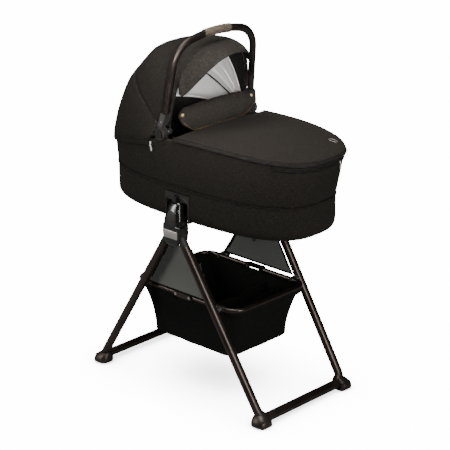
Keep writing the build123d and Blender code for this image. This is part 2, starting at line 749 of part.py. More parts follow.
def liner():
    """The inner lining, from just above the mattress to the top edge."""
    low = MATTRESS_Z + MATTRESS_THICK + 4.0
    outside = cot_prism(LINER_INSET, low, EDGE_MIDDLE_Z + 20.0)
    inside = cot_prism(LINER_INSET + LINER_WALL, low - 1.0, EDGE_MIDDLE_Z + 21.0)
    below_edge = edge_profile(-2.0, 260.0)
    sockets = socket_zone(GAP)
    with BuildPart() as lining:
        add(outside)
        add(inside, mode=Mode.SUBTRACT)
        add(below_edge, mode=Mode.INTERSECT)
        add(sockets, mode=Mode.SUBTRACT)
    return lining


def frame_band(inset):
    """A level band that follows the top edge line a little below it, at an inset."""
    return edge_profile(-FRAME_DROP, FRAME_HIGH) & cot_prism(inset, SEAM_Z, EDGE_MIDDLE_Z + 20.0)


def top_frame():
    """The frame hoop inside the walls, just under the top edge, which carries the pivots."""
    outside = frame_band(FRAME_INSET[0])
    inside = frame_band(FRAME_INSET[1])
    with BuildPart() as hoop:
        add(outside)
        add(inside, mode=Mode.SUBTRACT)
    return hoop


def mattress():
    """The foam mattress on the tub's floor."""
    low = COT_BASE_Z + COVER_WALL + GAP + TUB_WALL + GAP
    outline = cot_outline(BASE_INSET + MATTRESS_INSET - 6.0, 0, low)
    with BuildPart() as pad:
        add(outline)
        extrude(amount=MATTRESS_THICK)
    return pad


def apron():
    """The cover over the foot half, which follows the top edge line."""
    band = edge_profile(APRON_THICK + GAP, APRON_THICK)
    outside = cot_prism(-1.0, EDGE_FOOT_Z - 60.0, EDGE_MIDDLE_Z + 30.0)
    with BuildPart() as cover:
        add(band)
        add(outside, mode=Mode.INTERSECT)
        with Locations((APRON_START_X - 500.0, 0, PIVOT_Z)):
            Box(1000.0, 600.0, 300.0, mode=Mode.SUBTRACT)
    return cover


def pivot_housings():
    """Discs that carry the handle pivots, each standing on the frame hoop by a tab."""
    foot_z = EDGE_PIVOT_Z - FRAME_DROP
    below_hoop = edge_profile(-FRAME_DROP, 100.0)
    with BuildPart() as housings:
        for y_side in (-1, 1):
            with BuildSketch(Plane.XZ.offset(-y_side * HOUSING_Y[0])):
                with Locations((PIVOT_X, PIVOT_Z)):
                    Circle(HOUSING_RADIUS)
            extrude(amount=-y_side * (HOUSING_Y[1] - HOUSING_Y[0]))
            with BuildSketch(Plane.XZ.offset(-y_side * HOUSING_Y[0])):
                with Locations((PIVOT_X + 8.0, (foot_z - 2.0 + PIVOT_Z) / 2)):
                    Rectangle(16.0, PIVOT_Z - foot_z + 2.0)
            extrude(amount=-y_side * HOUSING_TAB)
            with BuildSketch(Plane.XZ.offset(-y_side * (HOUSING_Y[0] - 1.0))):
                with Locations((PIVOT_X, PIVOT_Z)):
                    Circle(RIB_PIN_RADIUS)
            extrude(amount=-y_side * 12.0, mode=Mode.SUBTRACT)
        add(below_hoop, mode=Mode.SUBTRACT)
    return housings


def pivot_pins():
    """Stepped pins that the handle, the hood ribs and the visor all turn on."""
    with BuildPart() as pins:
        for y_side in (-1, 1):
            with BuildSketch(Plane.XZ.offset(-y_side * RIB_PIN_Y)):
                with Locations((PIVOT_X, PIVOT_Z)):
                    Circle(RIB_PIN_RADIUS)
            extrude(amount=-y_side * (HOUSING_Y[1] - RIB_PIN_Y))
            with BuildSketch(Plane.XZ.offset(-y_side * HOUSING_Y[1])):
                with Locations((PIVOT_X, PIVOT_Z)):
                    Circle(PIVOT_PIN_RADIUS)
            extrude(amount=-y_side * (KNUCKLE_Y[1] - 4.5 - HOUSING_Y[1]))
    return pins


# ---------------------------------------------------------------- handle, hood, visor, flap

def hoop_plane(angle):
    """A plane through the handle axis: X across the cot, Y outwards at an angle from the foot."""
    a = radians(angle)
    return Plane(origin=(PIVOT_X, 0, PIVOT_Z), x_dir=(0, 1, 0), z_dir=(sin(a), 0, -cos(a)))


def arch_points(reach, half, start):
    """Points of a hood arch in a hoop plane, from one side's start radius over to the other."""
    low = (start / reach) ** HOOD_FULLNESS
    first = degrees(atan2(sqrt(low), sqrt(1 - low)))
    points = []
    for step in range(ARCH_STEPS + 1):
        t = radians(first + (90.0 - first) * step / ARCH_STEPS)
        power = 2 / HOOD_FULLNESS
        points.append((half * cos(t) ** power if step < ARCH_STEPS else 0.0, reach * sin(t) ** power))
    return points + [(-x, y) for x, y in points[-2::-1]]


def arch_ring(angle, reach, half, wall, start=HOOD_START_R):
    """The section of a hood panel in a hoop plane: a thin arch."""
    with BuildSketch(hoop_plane(angle)) as ring:
        with BuildLine():
            outer = Spline(*arch_points(reach, half, start))
            inner = Spline(*arch_points(reach - wall, half - wall, start))
            Line(outer @ 0, inner @ 0)
            Line(outer @ 1, inner @ 1)
        make_face()
    return ring.sketch


def hood_axis():
    return Axis((PIVOT_X, 0, PIVOT_Z), (0, -1, 0))


def hood_panel(span, step):
    """A hood panel turned about the handle axis, so that the panels slide inside each other."""
    grow = step * HOOD_STEP
    section = arch_ring(span[0], HOOD_R + grow, HOOD_Y + grow, HOOD_WALL)
    with BuildPart() as panel:
        add(section)
        revolve(axis=hood_axis(), revolution_arc=span[1] - span[0])
    return panel


def hood_rear():
    """The fixed rear panel of the hood, which spreads out to the cot's head end."""
    grow = 2 * HOOD_STEP
    first = arch_ring(REAR_PANEL[0], HOOD_R + grow, HOOD_Y + grow, HOOD_WALL)
    last = arch_ring(REAR_PANEL[1], REAR_HEM_R, REAR_HEM_Y, HOOD_WALL + 1.0)
    sheet = loft([first, last])
    below_edge = edge_profile(GAP, 500.0)
    room = housing_room()
    with BuildPart() as panel:
        add(sheet)
        add(below_edge, mode=Mode.SUBTRACT)
        add(room, mode=Mode.SUBTRACT)
    return panel


def housing_room():
    """Clearance round the pivot housings and the foot of the handle."""
    disc = Rot(90, 0, 0) * Cylinder(HANDLE_FOOT_R + 6.0, 600.0)
    room = Pos(PIVOT_X, 0, PIVOT_Z) * disc
    return room - Box(1000.0, 2 * (HOUSING_Y[0] - 14.0), 3 * PIVOT_Z)


def rib(angle, reach, half, wall):
    """A flat hoop inside a hood panel, with an eye on the pivot pin at each end."""
    section = arch_ring(angle, reach, half, wall, start=0.5)
    with BuildPart() as hoop:
        add(section)
        extrude(amount=RIB_THICK / 2, both=True)
        for y_side in (-1, 1):
            with BuildSketch(Plane.XZ.offset(-y_side * (half - wall))):
                with Locations((PIVOT_X, PIVOT_Z)):
                    Circle(10.0)
            extrude(amount=-y_side * wall)
            with BuildSketch(Plane.XZ.offset(-y_side * (half - wall - 1.0))):
                with Locations((PIVOT_X, PIVOT_Z)):
                    Circle(RIB_PIN_RADIUS + RUNNING)
            extrude(amount=-y_side * (wall + 2.0), mode=Mode.SUBTRACT)
    return hoop


def visor():
    """The eyeshade under the front of the hood: it slopes down and forwards."""
    reach = HOOD_R - HOOD_WALL - RIB_CLEAR - RIB_THICK - VISOR_CLEAR
    half = HOOD_Y - HOOD_WALL - RIB_CLEAR - RIB_THICK - VISOR_CLEAR
    back = arch_ring(VISOR_ANGLE[1], reach, half, VISOR_WALL)
    front = arch_ring(VISOR_ANGLE[0], VISOR_FRONT_R, half - 2.0, VISOR_WALL)
    sheet = loft([front, back])
    with BuildPart() as shade:
        add(sheet)
    return shade


def crown_apex():
    """Where the two sides of the handle's crown would meet if they weren't rounded."""
    half = HANDLE_CORNER_Y
    slope = 0.2
    for _ in range(30):
        apex = HANDLE_TOP_R + HANDLE_CROWN_BEND * (sqrt(1 + slope**2) - 1)
        slope = (apex - HANDLE_CORNER_R) / half
    return apex


def handle_path():
    """The handle's centre line in its hoop plane: two legs, round corners, a crowned top."""
    FilletPolyline(
        (HANDLE_FOOT_Y, HANDLE_FOOT_R),
        (HANDLE_CORNER_Y, HANDLE_CORNER_R),
        (0, crown_apex()),
        (-HANDLE_CORNER_Y, HANDLE_CORNER_R),
        (-HANDLE_FOOT_Y, HANDLE_FOOT_R),
        radius=[HANDLE_CORNER_BEND, HANDLE_CROWN_BEND, HANDLE_CORNER_BEND],
    )


def handle_tube():
    """The carry handle: one oval tube bent into a bow."""
    with BuildPart() as bow:
        with BuildLine(hoop_plane(HANDLE_ANGLE)) as path:
            handle_path()
        start = path.line @ 0
        ahead = path.line % 0
        across = hoop_plane(HANDLE_ANGLE).z_dir
        with BuildSketch(Plane(origin=start, x_dir=across, z_dir=ahead)):
            Ellipse(HANDLE_DEEP / 2, HANDLE_WIDE / 2)
        sweep()
    return bow


def handle_grip():
    """The wrapped grip on the middle of the handle."""
    across = hoop_plane(HANDLE_ANGLE).z_dir
    drop = HANDLE_CROWN_BEND - sqrt(HANDLE_CROWN_BEND**2 - GRIP_HALF**2)
    with BuildPart() as grip:
        with BuildLine(hoop_plane(HANDLE_ANGLE)) as path:
            ThreePointArc(
                (GRIP_HALF, HANDLE_TOP_R - drop), (0, HANDLE_TOP_R), (-GRIP_HALF, HANDLE_TOP_R - drop)
            )
        start = Plane(origin=path.line @ 0, x_dir=across, z_dir=path.line % 0)
        with BuildSketch(start):
            Ellipse(HANDLE_DEEP / 2 + GRIP_THICK, HANDLE_WIDE / 2 + GRIP_THICK)
        sweep()
        with BuildSketch(start):
            Ellipse(HANDLE_DEEP / 2 + GAP, HANDLE_WIDE / 2 + GAP)
        sweep(path=path.line, mode=Mode.SUBTRACT)
    return grip


def screw_plane(y_side):
    """The floor of the counterbore for a knuckle's screw, facing outwards."""
    spot = hoop_plane(HANDLE_ANGLE).from_local_coords(Vector(0, SCREW_R, 0))
    return Plane(origin=(spot.X, y_side * SCREW_Y[0], spot.Z), x_dir=(1, 0, 0), z_dir=(0, y_side, 0))


def handle_knuckles():
    """Moulded knuckles that hold the tube ends and turn on the pivot pins."""
    plane = hoop_plane(HANDLE_ANGLE)
    with BuildPart() as knuckles:
        for y_side in (-1, 1):
            with BuildSketch(Plane.XZ.offset(-y_side * KNUCKLE_Y[0])):
                with Locations((PIVOT_X, PIVOT_Z)):
                    Circle(KNUCKLE_RADIUS)
            extrude(amount=-y_side * (KNUCKLE_Y[1] - KNUCKLE_Y[0]))
            with BuildSketch(plane):
                with BuildLine():
                    Polyline(
                        (y_side * KNUCKLE_Y[0], 0),
                        (y_side * KNUCKLE_Y[1], 0),
                        (y_side * KNUCKLE_Y[1], 26.0),
                        (y_side * (HANDLE_FOOT_Y + HANDLE_WIDE / 2), HANDLE_FOOT_R - KNUCKLE_GAP),
                        (y_side * (HANDLE_FOOT_Y - HANDLE_WIDE / 2 + 2), HANDLE_FOOT_R - KNUCKLE_GAP),
                        (y_side * (HANDLE_FOOT_Y - HANDLE_WIDE / 2 + 2), 44.0),
                        (y_side * KNUCKLE_Y[0], 27.0),
                        close=True,
                    )
                make_face()
            extrude(amount=HANDLE_DEEP / 2 + 1.0, both=True)
            with BuildSketch(Plane.XZ.offset(-y_side * (KNUCKLE_Y[1] - CAP_THICK + 2.0))):
                with Locations((PIVOT_X, PIVOT_Z)):
                    Circle(CAP_RADIUS + BUTTON_CLEAR)
            extrude(amount=-y_side * 20.0, mode=Mode.SUBTRACT)
            with BuildSketch(Plane.XZ.offset(-y_side * (KNUCKLE_Y[0] - 1.0))):
                with Locations((PIVOT_X, PIVOT_Z)):
                    Circle(PIVOT_PIN_RADIUS + RUNNING)
            extrude(amount=-y_side * 30.0, mode=Mode.SUBTRACT)
            with BuildSketch(screw_plane(y_side)):
                Circle(SCREW_RADIUS + RUNNING)
            extrude(amount=12.0, mode=Mode.SUBTRACT)
    return knuckles


def pivot_button(y_side):
    """The round release button over a handle pivot."""
    face = KNUCKLE_Y[1] + 2.0
    with BuildPart() as cap:
        with BuildSketch(Plane.XZ.offset(-y_side * (face - CAP_THICK + 3.0))):
            with Locations((PIVOT_X, PIVOT_Z)):
                Circle(CAP_RADIUS)
        extrude(amount=-y_side * (CAP_THICK - 3.0 + 1.0))
    return cap


def knuckle_screws():
    """One screw in the outside of each knuckle."""
    with BuildPart() as screws:
        for y_side in (-1, 1):
            with BuildSketch(screw_plane(y_side)):
                Circle(SCREW_RADIUS)
            extrude(amount=SCREW_Y[1] - SCREW_Y[0])
    return screws


def wind_flap():
    """The fold-over cuff at the head of the apron: a padded panel with an arched top."""
    low = PIVOT_Z + FLAP_LIFT
    with BuildPart() as flap:
        with BuildSketch(Plane.YZ.offset(FLAP_HINGE_X - FLAP_THICK)) as side:
            with BuildLine():
                Line((-FLAP_HALF_WIDTH + 20.0, low), (FLAP_HALF_WIDTH - 20.0, low))
                Line((FLAP_HALF_WIDTH - 20.0, low), (FLAP_HALF_WIDTH, FLAP_SIDE_Z))
                ThreePointArc((FLAP_HALF_WIDTH, FLAP_SIDE_Z), (0, FLAP_TOP_Z), (-FLAP_HALF_WIDTH, FLAP_SIDE_Z))
                Line((-FLAP_HALF_WIDTH, FLAP_SIDE_Z), (-FLAP_HALF_WIDTH + 20.0, low))
            make_face()
            fillet(side.vertices(), 9.0)
        extrude(amount=FLAP_THICK)
    return flap


def flap_snaps():
    """Snap caps near the upper corners of the flap, on its outer face."""
    with BuildPart() as snaps:
        with BuildSketch(Plane.YZ.offset(FLAP_HINGE_X)):
            for y_side in (-1, 1):
                with Locations((y_side * (FLAP_HALF_WIDTH - 14.0), FLAP_SIDE_Z - 14.0)):
                    Circle(SNAP_RADIUS)
        extrude(amount=1.5)
    return snaps


def main():
    os.makedirs("parts", exist_ok=True)
    for name, side in (("head", -1), ("foot", 1)):
        save(leg_tubes(side), f"{name}_leg_tubes")
        save(leg_collars(side), f"{name}_leg_collars")
        save(corner_fittings(side), f"{name}_corner_fittings")
        save(foot_pads(side), f"{name}_foot_pads")
        save(crossbar(side), f"{name}_crossbar")
        save(rim_pivots(side), f"{name}_rim_pivots")
        save(rim_half(side), f"{name}_rim_tube")
    save(hub_frames(), "hub_frames")
    save(hub_covers(), "hub_covers")
    save(hub_badges(), "hub_badges")
    save(leg_pivot_pins(), "leg_pivot_pins")
    save(button_springs(), "button_springs")
    save(docking_tongues(), "docking_tongues")
    for name, y_side in (("near", -1), ("far", 1)):
        save(fold_button(y_side), f"fold_button_{name}")
        save(pivot_button(y_side), f"pivot_button_{name}")
    save(link_plates(), "rim_link_plates")
    save(link_rivets(), "rim_link_rivets")
    save(basket(), "basket")
    save(basket_dividers(), "basket_dividers")
    save(side_mesh_panels(), "side_mesh_panels")
    save(lower_cover(), "lower_cover")
    save(base_tub(), "base_tub")
    save(base_pegs(), "base_pegs")
    save(side_sockets(), "side_sockets")
    save(upper_cover(), "upper_cover")
    save(liner(), "liner")
    save(top_frame(), "top_frame")
    save(mattress(), "mattress")
    save(apron(), "apron")
    save(pivot_housings(), "pivot_housings")
    save(pivot_pins(), "handle_pivot_pins")
    save(hood_rear(), "hood_rear")
    save(hood_panel(MIDDLE_PANEL, 1), "hood_middle")
    save(hood_panel(FRONT_PANEL, 0), "hood_front")
    inner = HOOD_R - HOOD_WALL - RIB_CLEAR
    half = HOOD_Y - HOOD_WALL - RIB_CLEAR
    save(rib(FRONT_PANEL[0] + 4.0, inner, half, RIB_THICK), "front_rib")
    save(rib(MIDDLE_PANEL[1] - 2.0, inner + HOOD_STEP, half + HOOD_STEP, HOOD_STEP - GAP), "middle_rib")
    save(visor(), "visor")
    save(handle_tube(), "handle_tube")
    save(handle_grip(), "handle_grip")
    save(handle_knuckles(), "handle_knuckles")
    save(knuckle_screws(), "knuckle_screws")
    save(wind_flap(), "wind_flap")
    save(flap_snaps(), "flap_snaps")


main()
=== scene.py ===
# %% [markdown]
# # A bassinet on a folding stand
# The object is a carrycot with a hood, an apron and a carry handle. It is docked on a stand of
# four oval tubes that crosses at two hubs and also carries a storage basket. Most metal and moulded
# pieces come ready made from the CAD frame and only get better materials here. Everything sewn
# is made again in this file, because cloth needs seams, zips, folds and a weave. So are the hub
# shells with their plates and button panels, the snap caps and the shoes on the feet.

# %% Load the frame
import bmesh
import bpy
import math
import numpy as np
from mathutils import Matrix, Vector, noise
from mathutils.bvhtree import BVHTree


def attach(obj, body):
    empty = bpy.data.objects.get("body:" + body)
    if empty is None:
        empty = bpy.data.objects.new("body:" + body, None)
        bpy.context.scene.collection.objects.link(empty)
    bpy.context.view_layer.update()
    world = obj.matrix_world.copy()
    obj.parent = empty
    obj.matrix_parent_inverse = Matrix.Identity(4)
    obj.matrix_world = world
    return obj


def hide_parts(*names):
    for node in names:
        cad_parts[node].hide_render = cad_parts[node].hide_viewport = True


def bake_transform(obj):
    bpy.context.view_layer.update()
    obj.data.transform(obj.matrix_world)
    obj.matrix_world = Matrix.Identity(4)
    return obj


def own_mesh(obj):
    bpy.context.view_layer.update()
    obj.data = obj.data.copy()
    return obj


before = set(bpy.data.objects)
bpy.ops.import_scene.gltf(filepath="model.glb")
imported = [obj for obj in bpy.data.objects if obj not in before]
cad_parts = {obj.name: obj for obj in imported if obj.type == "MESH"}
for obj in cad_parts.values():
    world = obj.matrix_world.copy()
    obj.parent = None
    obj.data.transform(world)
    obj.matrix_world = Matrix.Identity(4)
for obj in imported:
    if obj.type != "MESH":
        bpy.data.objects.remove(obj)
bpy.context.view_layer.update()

# %% [markdown]
# ## Sizes
# All sizes below are millimetres, in the frame's own axes: X runs from head to foot, Y away from
# the near side and Z up. They repeat what the CAD model uses, so the cloth fits the frame.

# %% Sizes shared with the frame
MM = 0.001
STAND_X = -24.5
PIVOT = np.array([-83.5, 0.0, 877.0])
HEAD, FOOT, HALF = 385.0, 422.0, 198.6  # waist of the cot, from STAND_X
HEAD_FLARE, FOOT_FLARE, SIDE_FLARE = 14.0, 32.0, 12.4
FULLNESS = 2.8
BASE_Z, SEAM_Z, TOP_Z = 598.0, 710.0, 867.0
EDGE_POINTS = ((-83.5, 862.0), (132.5, 867.0), (520.0, 838.0))
HEAD_SLOPE = 0.235
SOCKET_HALF, SOCKET_TOP = 52.0, 690.0
RIM_HALF = np.array([224.6, 169.0])
RIM_Z, RIM_CORNER = 336.5, 44.0
FLOOR_HALF = np.array([182.0, 146.0])
FOOT_REACH, FOOT_SPAN = 363.0, 198.0  # middle of a foot, along and across
CROSS_Z = 594.0  # where the legs' lines cross
LEG_SLOPE = FOOT_REACH / (CROSS_Z - 22.0)
BASKET_FLOOR = 162.0

# %% [markdown]
# ## Colours and nodes
# Colours are picked as sRGB hex values and turned to linear light, which is what a shader
# multiplies. One small function adds any node with its settings and its links.

# %% Helpers for materials
def linear(code):
    """An sRGB hex colour as linear light."""
    parts = [int(code[i:i + 2], 16) / 255 for i in (0, 2, 4)]
    return (*[c / 12.92 if c <= 0.04045 else ((c + 0.055) / 1.055) ** 2.4 for c in parts], 1.0)


def add_node(tree, kind, settings=None, **links):
    """Adds a node: settings are properties or input values, links are inputs fed by a socket."""
    made = tree.nodes.new(kind)
    for key, value in (settings or {}).items():
        if isinstance(key, str) and hasattr(made, key):
            setattr(made, key, value)
        else:
            made.inputs[key].default_value = value
    for key, source in links.items():
        place = int(key[1:]) if key[0] == "_" else key.replace("_", " ")
        tree.links.new(source, made.inputs[place])
    return made


def start_material(name, colour, roughness, **sockets):
    """A material with its shader's plain values set."""
    made = bpy.data.materials.new(name)
    made.use_nodes = True
    tree = made.node_tree
    shader = tree.nodes["Principled BSDF"]
    shader.inputs["Base Color"].default_value = linear(colour)
    shader.inputs["Roughness"].default_value = roughness
    for key, value in sockets.items():
        shader.inputs[key.replace("_", " ")].default_value = value
    return made, tree, shader


def coloured_by(tree, shader, factor, stops):
    """Feeds the base colour from a ramp of (place, hex) stops."""
    ramp = add_node(tree, "ShaderNodeValToRGB", Fac=factor)
    first, last = ramp.color_ramp.elements
    first.position, first.color = stops[0][0], linear(stops[0][1])
    last.position, last.color = stops[-1][0], linear(stops[-1][1])
    for place, code in stops[1:-1]:
        ramp.color_ramp.elements.new(place).color = linear(code)
    tree.links.new(ramp.outputs["Color"], shader.inputs["Base Color"])


def bumped_by(tree, shader, height, depth_mm, strength=1.0):
    """Feeds the normal from a height between 0 and 1 that stands depth_mm tall."""
    bump = add_node(tree, "ShaderNodeBump", {"Distance": depth_mm * MM, "Strength": strength}, Height=height)
    tree.links.new(bump.outputs["Normal"], shader.inputs["Normal"])

# %% [markdown]
# ## Woven cloth
# The cot's cover is a polyester plain weave in black melange: yarns spun from black and brownish
# grey fibres, so the eye sees a near-black with short lighter streaks along both thread
# directions. Threads stand 0.5 mm apart on the real cloth. That is finer than a render shows, so
# the weave is drawn at 1.3 mm. The pattern reads a UV map in metres that each piece is given.

# %% Woven materials
def weave(name, dark, light, pitch_mm, depth_mm, roughness, sheen, streak=0.5, **sockets):
    made, tree, shader = start_material(
        name, dark, roughness, Sheen_Weight=sheen, Sheen_Roughness=0.45, Specular_IOR_Level=0.15, **sockets
    )
    shader.inputs["Sheen Tint"].default_value = linear(light)
    place = add_node(tree, "ShaderNodeUVMap", {"uv_map": "cloth"}).outputs["UV"]
    threads = []
    streaks = []
    for direction, stretch in (("X", (90, 1100, 1)), ("Y", (1100, 90, 1))):
        threads.append(add_node(
            tree, "ShaderNodeTexWave",
            {"bands_direction": direction, "Scale": math.pi / (10 * pitch_mm * MM), "Distortion": 0.6,
             "Detail": 1.0}, Vector=place))
        along = add_node(tree, "ShaderNodeMapping", {"Scale": stretch}, Vector=place)
        streaks.append(add_node(
            tree, "ShaderNodeTexNoise", {"Scale": 1.0, "Detail": 2.0}, Vector=along.outputs[0]))
    crossing = add_node(tree, "ShaderNodeMath", {"operation": "MULTIPLY"},
                        _0=threads[0].outputs["Fac"], _1=threads[1].outputs["Fac"])
    melange = add_node(tree, "ShaderNodeMath", {"operation": "MAXIMUM"},
                       _0=streaks[0].outputs["Fac"], _1=streaks[1].outputs["Fac"])
    coloured_by(tree, shader, melange.outputs[0], ((streak, dark), (streak + 0.25, light)))
    bumped_by(tree, shader, crossing.outputs[0], depth_mm)
    return made


COVER = weave("melange cover cloth", "1f1c19", "3a352f", 1.3, 0.25, 0.85, 0.09)
HOOD = weave("melange hood cloth", "1c1916", "312d27", 1.3, 0.22, 0.85, 0.07)
BINDING = weave("ribbed binding tape", "1b1917", "2b2926", 0.9, 0.15, 0.75, 0.1)
LINING = weave("black jersey lining", "161514", "242220", 1.1, 0.15, 0.95, 0.1)
BASKET = weave("black polyester basket cloth", "131312", "201f1d", 1.0, 0.2, 0.9, 0.08)
PALE_LINING = weave("grey spacer mesh lining", "b9b8b4", "dcdad6", 2.2, 0.3, 0.9, 0.2)
PALE_BINDING = weave("pale binding tape", "dcd2cd", "f0e9e5", 1.0, 0.15, 0.8, 0.2)


def open_mesh(name, colour, openness):
    """Warp-knitted mesh: hexagonal holes 2.4 mm apart, so what is behind shows through."""
    made, tree, shader = start_material(name, colour, 0.8, Sheen_Weight=0.1)
    place = add_node(tree, "ShaderNodeUVMap", {"uv_map": "cloth"}).outputs["UV"]
    holes = add_node(tree, "ShaderNodeTexVoronoi", {"Scale": 420.0, "Randomness": 0.15}, Vector=place)
    edge = add_node(tree, "ShaderNodeMath", {"operation": "GREATER_THAN", 1: openness},
                    _0=holes.outputs["Distance"])
    tree.links.new(edge.outputs[0], shader.inputs["Alpha"])
    return made


SIDE_MESH = open_mesh("grey side mesh", "72736e", 0.10)
WINDOW_MESH = open_mesh("grey basket window mesh", "5a5b57", 0.10)

# %% [markdown]
# ## Metals, plastics, leatherette and rubber
# The tubes are steel with a dark bronze metallic powder coat: fine flakes under a satin skin,
# which gives a broad soft highlight with a warm tint. The handle is anodised aluminium, a little
# darker. The moulded pieces are ABS, matt where hands touch and polished on the hubs.

# %% Metals and plastics
def grained(name, colour, light, roughness, grain_mm, depth_mm, **sockets):
    """A sprayed or moulded finish: a fine random grain, with a little cloudiness in its colour."""
    made, tree, shader = start_material(name, colour, roughness, **sockets)
    place = add_node(tree, "ShaderNodeTexCoord").outputs["Object"]
    grain = add_node(tree, "ShaderNodeTexNoise", {"Scale": 1 / (grain_mm * MM), "Detail": 2.0}, Vector=place)
    cloud = add_node(tree, "ShaderNodeTexNoise", {"Scale": 14.0, "Detail": 3.0}, Vector=place)
    coloured_by(tree, shader, cloud.outputs["Fac"], ((0.35, colour), (0.7, light)))
    wear = add_node(tree, "ShaderNodeMapRange",
                    {"To Min": roughness - 0.05, "To Max": roughness + 0.07}, Value=cloud.outputs["Fac"])
    tree.links.new(wear.outputs["Result"], shader.inputs["Roughness"])
    bumped_by(tree, shader, grain.outputs["Fac"], depth_mm, 0.6)
    return made


BRONZE = grained("bronze powder coat on steel", "4a423d", "564d47", 0.33, 0.7, 0.03, Metallic=0.9)
CASTING = grained("bronze paint on cast fittings", "463f3a", "504842", 0.4, 0.7, 0.04, Metallic=0.85)
HANDLE = grained("bronze anodised aluminium", "3a3430", "443d38", 0.36, 0.6, 0.02, Metallic=0.9)
MATT = grained("matt moulded ABS", "1e1c1a", "262422", 0.52, 0.8, 0.08)
GLOSS = grained("polished moulded ABS", "121110", "171615", 0.16, 1.5, 0.01, Coat_Weight=0.3)
TUB = grained("moulded polypropylene", "1c1b1a", "222120", 0.6, 1.0, 0.06)
RUBBER = grained("matt foot rubber", "161515", "1e1d1c", 0.8, 0.8, 0.1)
ZINC = grained("zinc plated steel", "b5b2ac", "c9c6c0", 0.3, 0.8, 0.02, Metallic=1.0)
NYLON = grained("black nylon zip coil", "0f0f0e", "1a1918", 0.35, 0.8, 0.02)
SILVER = grained("nickel plated zip puller", "dddad6", "efedea", 0.3, 0.8, 0.01, Metallic=0.5)
GOLD = grained("gold plated snap", "e0bd7c", "f0d9a4", 0.3, 0.8, 0.01, Metallic=0.6)
THREAD = grained("brown and gold sewing thread", "7a6134", "8d7242", 0.7, 0.5, 0.05)

# Brushed nickel plate: hairlines along X, 0.4 mm apart, drawn long and thin.
BRUSHED, _tree, _shader = start_material("brushed nickel plate", "c4bdb6", 0.36, Metallic=0.55)
_place = add_node(_tree, "ShaderNodeTexCoord").outputs["Object"]
_lines = add_node(_tree, "ShaderNodeMapping", {"Scale": (30, 30, 1800)}, Vector=_place)
_hair = add_node(_tree, "ShaderNodeTexNoise", {"Scale": 1.0, "Detail": 2.0}, Vector=_lines.outputs[0])
coloured_by(_tree, _shader, _hair.outputs["Fac"], ((0.3, "bbb3ad"), (0.7, "d3ccc6")))
bumped_by(_tree, _shader, _hair.outputs["Fac"], 0.02)

# Leatherette: pressed pebbles about 1.5 mm wide on a brown vinyl skin.
LEATHER, _tree, _shader = start_material("pebbled brown leatherette", "5a5044", 0.55)
_place = add_node(_tree, "ShaderNodeTexCoord").outputs["Object"]
_pebble = add_node(_tree, "ShaderNodeTexVoronoi", {"Scale": 650.0, "feature": "SMOOTH_F1"}, Vector=_place)
coloured_by(_tree, _shader, _pebble.outputs["Distance"], ((0.0, "5f5548"), (0.8, "453d34")))
bumped_by(_tree, _shader, _pebble.outputs["Distance"], -0.15)

NODE_FINISH = {
    "hub_frames": GLOSS, "hub_covers": GLOSS, "docking_tongues": GLOSS, "hub_badges": BRUSHED,
    "fold_button_near": MATT, "fold_button_far": MATT, "side_sockets": MATT, "base_pegs": MATT,
    "head_leg_collars": MATT, "foot_leg_collars": MATT, "pivot_housings": MATT,
    "handle_knuckles": MATT, "pivot_button_near": GLOSS, "pivot_button_far": GLOSS,
    "front_rib": TUB, "middle_rib": TUB, "base_tub": TUB, "handle_tube": HANDLE, "handle_grip": LEATHER,
    "head_foot_pads": RUBBER, "foot_foot_pads": RUBBER, "flap_snaps": GOLD,
    "head_corner_fittings": CASTING, "foot_corner_fittings": CASTING,
}
for node_name in ("leg_tubes", "crossbar", "rim_tube"):
    for end in ("head", "foot"):
        NODE_FINISH[f"{end}_{node_name}"] = BRONZE
NODE_FINISH["rim_link_plates"] = BRONZE
for name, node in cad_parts.items():
    node.data.materials.clear()
    node.data.materials.append(NODE_FINISH.get(name, ZINC))
print("finishes set on", len(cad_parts), "CAD nodes")

# %% [markdown]
# ## Building in grids
# Sewn pieces are grids of points: one row after another, worked out from the cut of the cloth.
# A grid keeps even quads, which subdivide and wrinkle well. A second helper sweeps a small
# section along a path, which makes piping, tapes, bindings and straps.

# %% Helpers for meshes
def finish_mesh(mesh, name, materials, smooth=True):
    """Makes an object of a bmesh in millimetres, with its faces smooth."""
    bmesh.ops.scale(mesh, vec=(MM, MM, MM), verts=mesh.verts)
    data = bpy.data.meshes.new(name)
    mesh.to_mesh(data)
    mesh.free()
    for finish in materials:
        data.materials.append(finish)
    data.polygons.foreach_set("use_smooth", [smooth] * len(data.polygons))
    made = bpy.data.objects.new(name, data)
    bpy.context.collection.objects.link(made)
    return made


def lay_cloth(piece):
    """Gives each face a UV in metres, seen along the axis that it faces most."""
    layer = piece.data.uv_layers.new(name="cloth")
    for face in piece.data.polygons:
        most = max(range(3), key=lambda i: abs(face.normal[i]))
        axes = [i for i in range(3) if i != most]
        for loop in face.loop_indices:
            spot = piece.data.vertices[piece.data.loops[loop].vertex_index].co
            layer.data[loop].uv = (spot[axes[0]], spot[axes[1]])
    return piece


def grid_mesh(rows, wrap=False, keep=None, paint=None):
    """A bmesh of quads through rows of points: keep and paint are called with a face's middle."""
    rows = np.asarray(rows, float)
    mesh = bmesh.new()
    verts = [[mesh.verts.new(p) for p in row] for row in rows]
    across = rows.shape[1]
    for i in range(rows.shape[0] - 1):
        for j in range(across if wrap else across - 1):
            k = (j + 1) % across
            middle = (rows[i, j] + rows[i, k] + rows[i + 1, j] + rows[i + 1, k]) / 4
            if keep is None or keep(middle):
                face = mesh.faces.new((verts[i][j], verts[i][k], verts[i + 1][k], verts[i + 1][j]))
                face.material_index = paint(middle) if paint else 0
    bmesh.ops.delete(mesh, geom=[v for v in mesh.verts if not v.link_faces], context="VERTS")
    bmesh.ops.remove_doubles(mesh, verts=mesh.verts, dist=0.02)
    return mesh


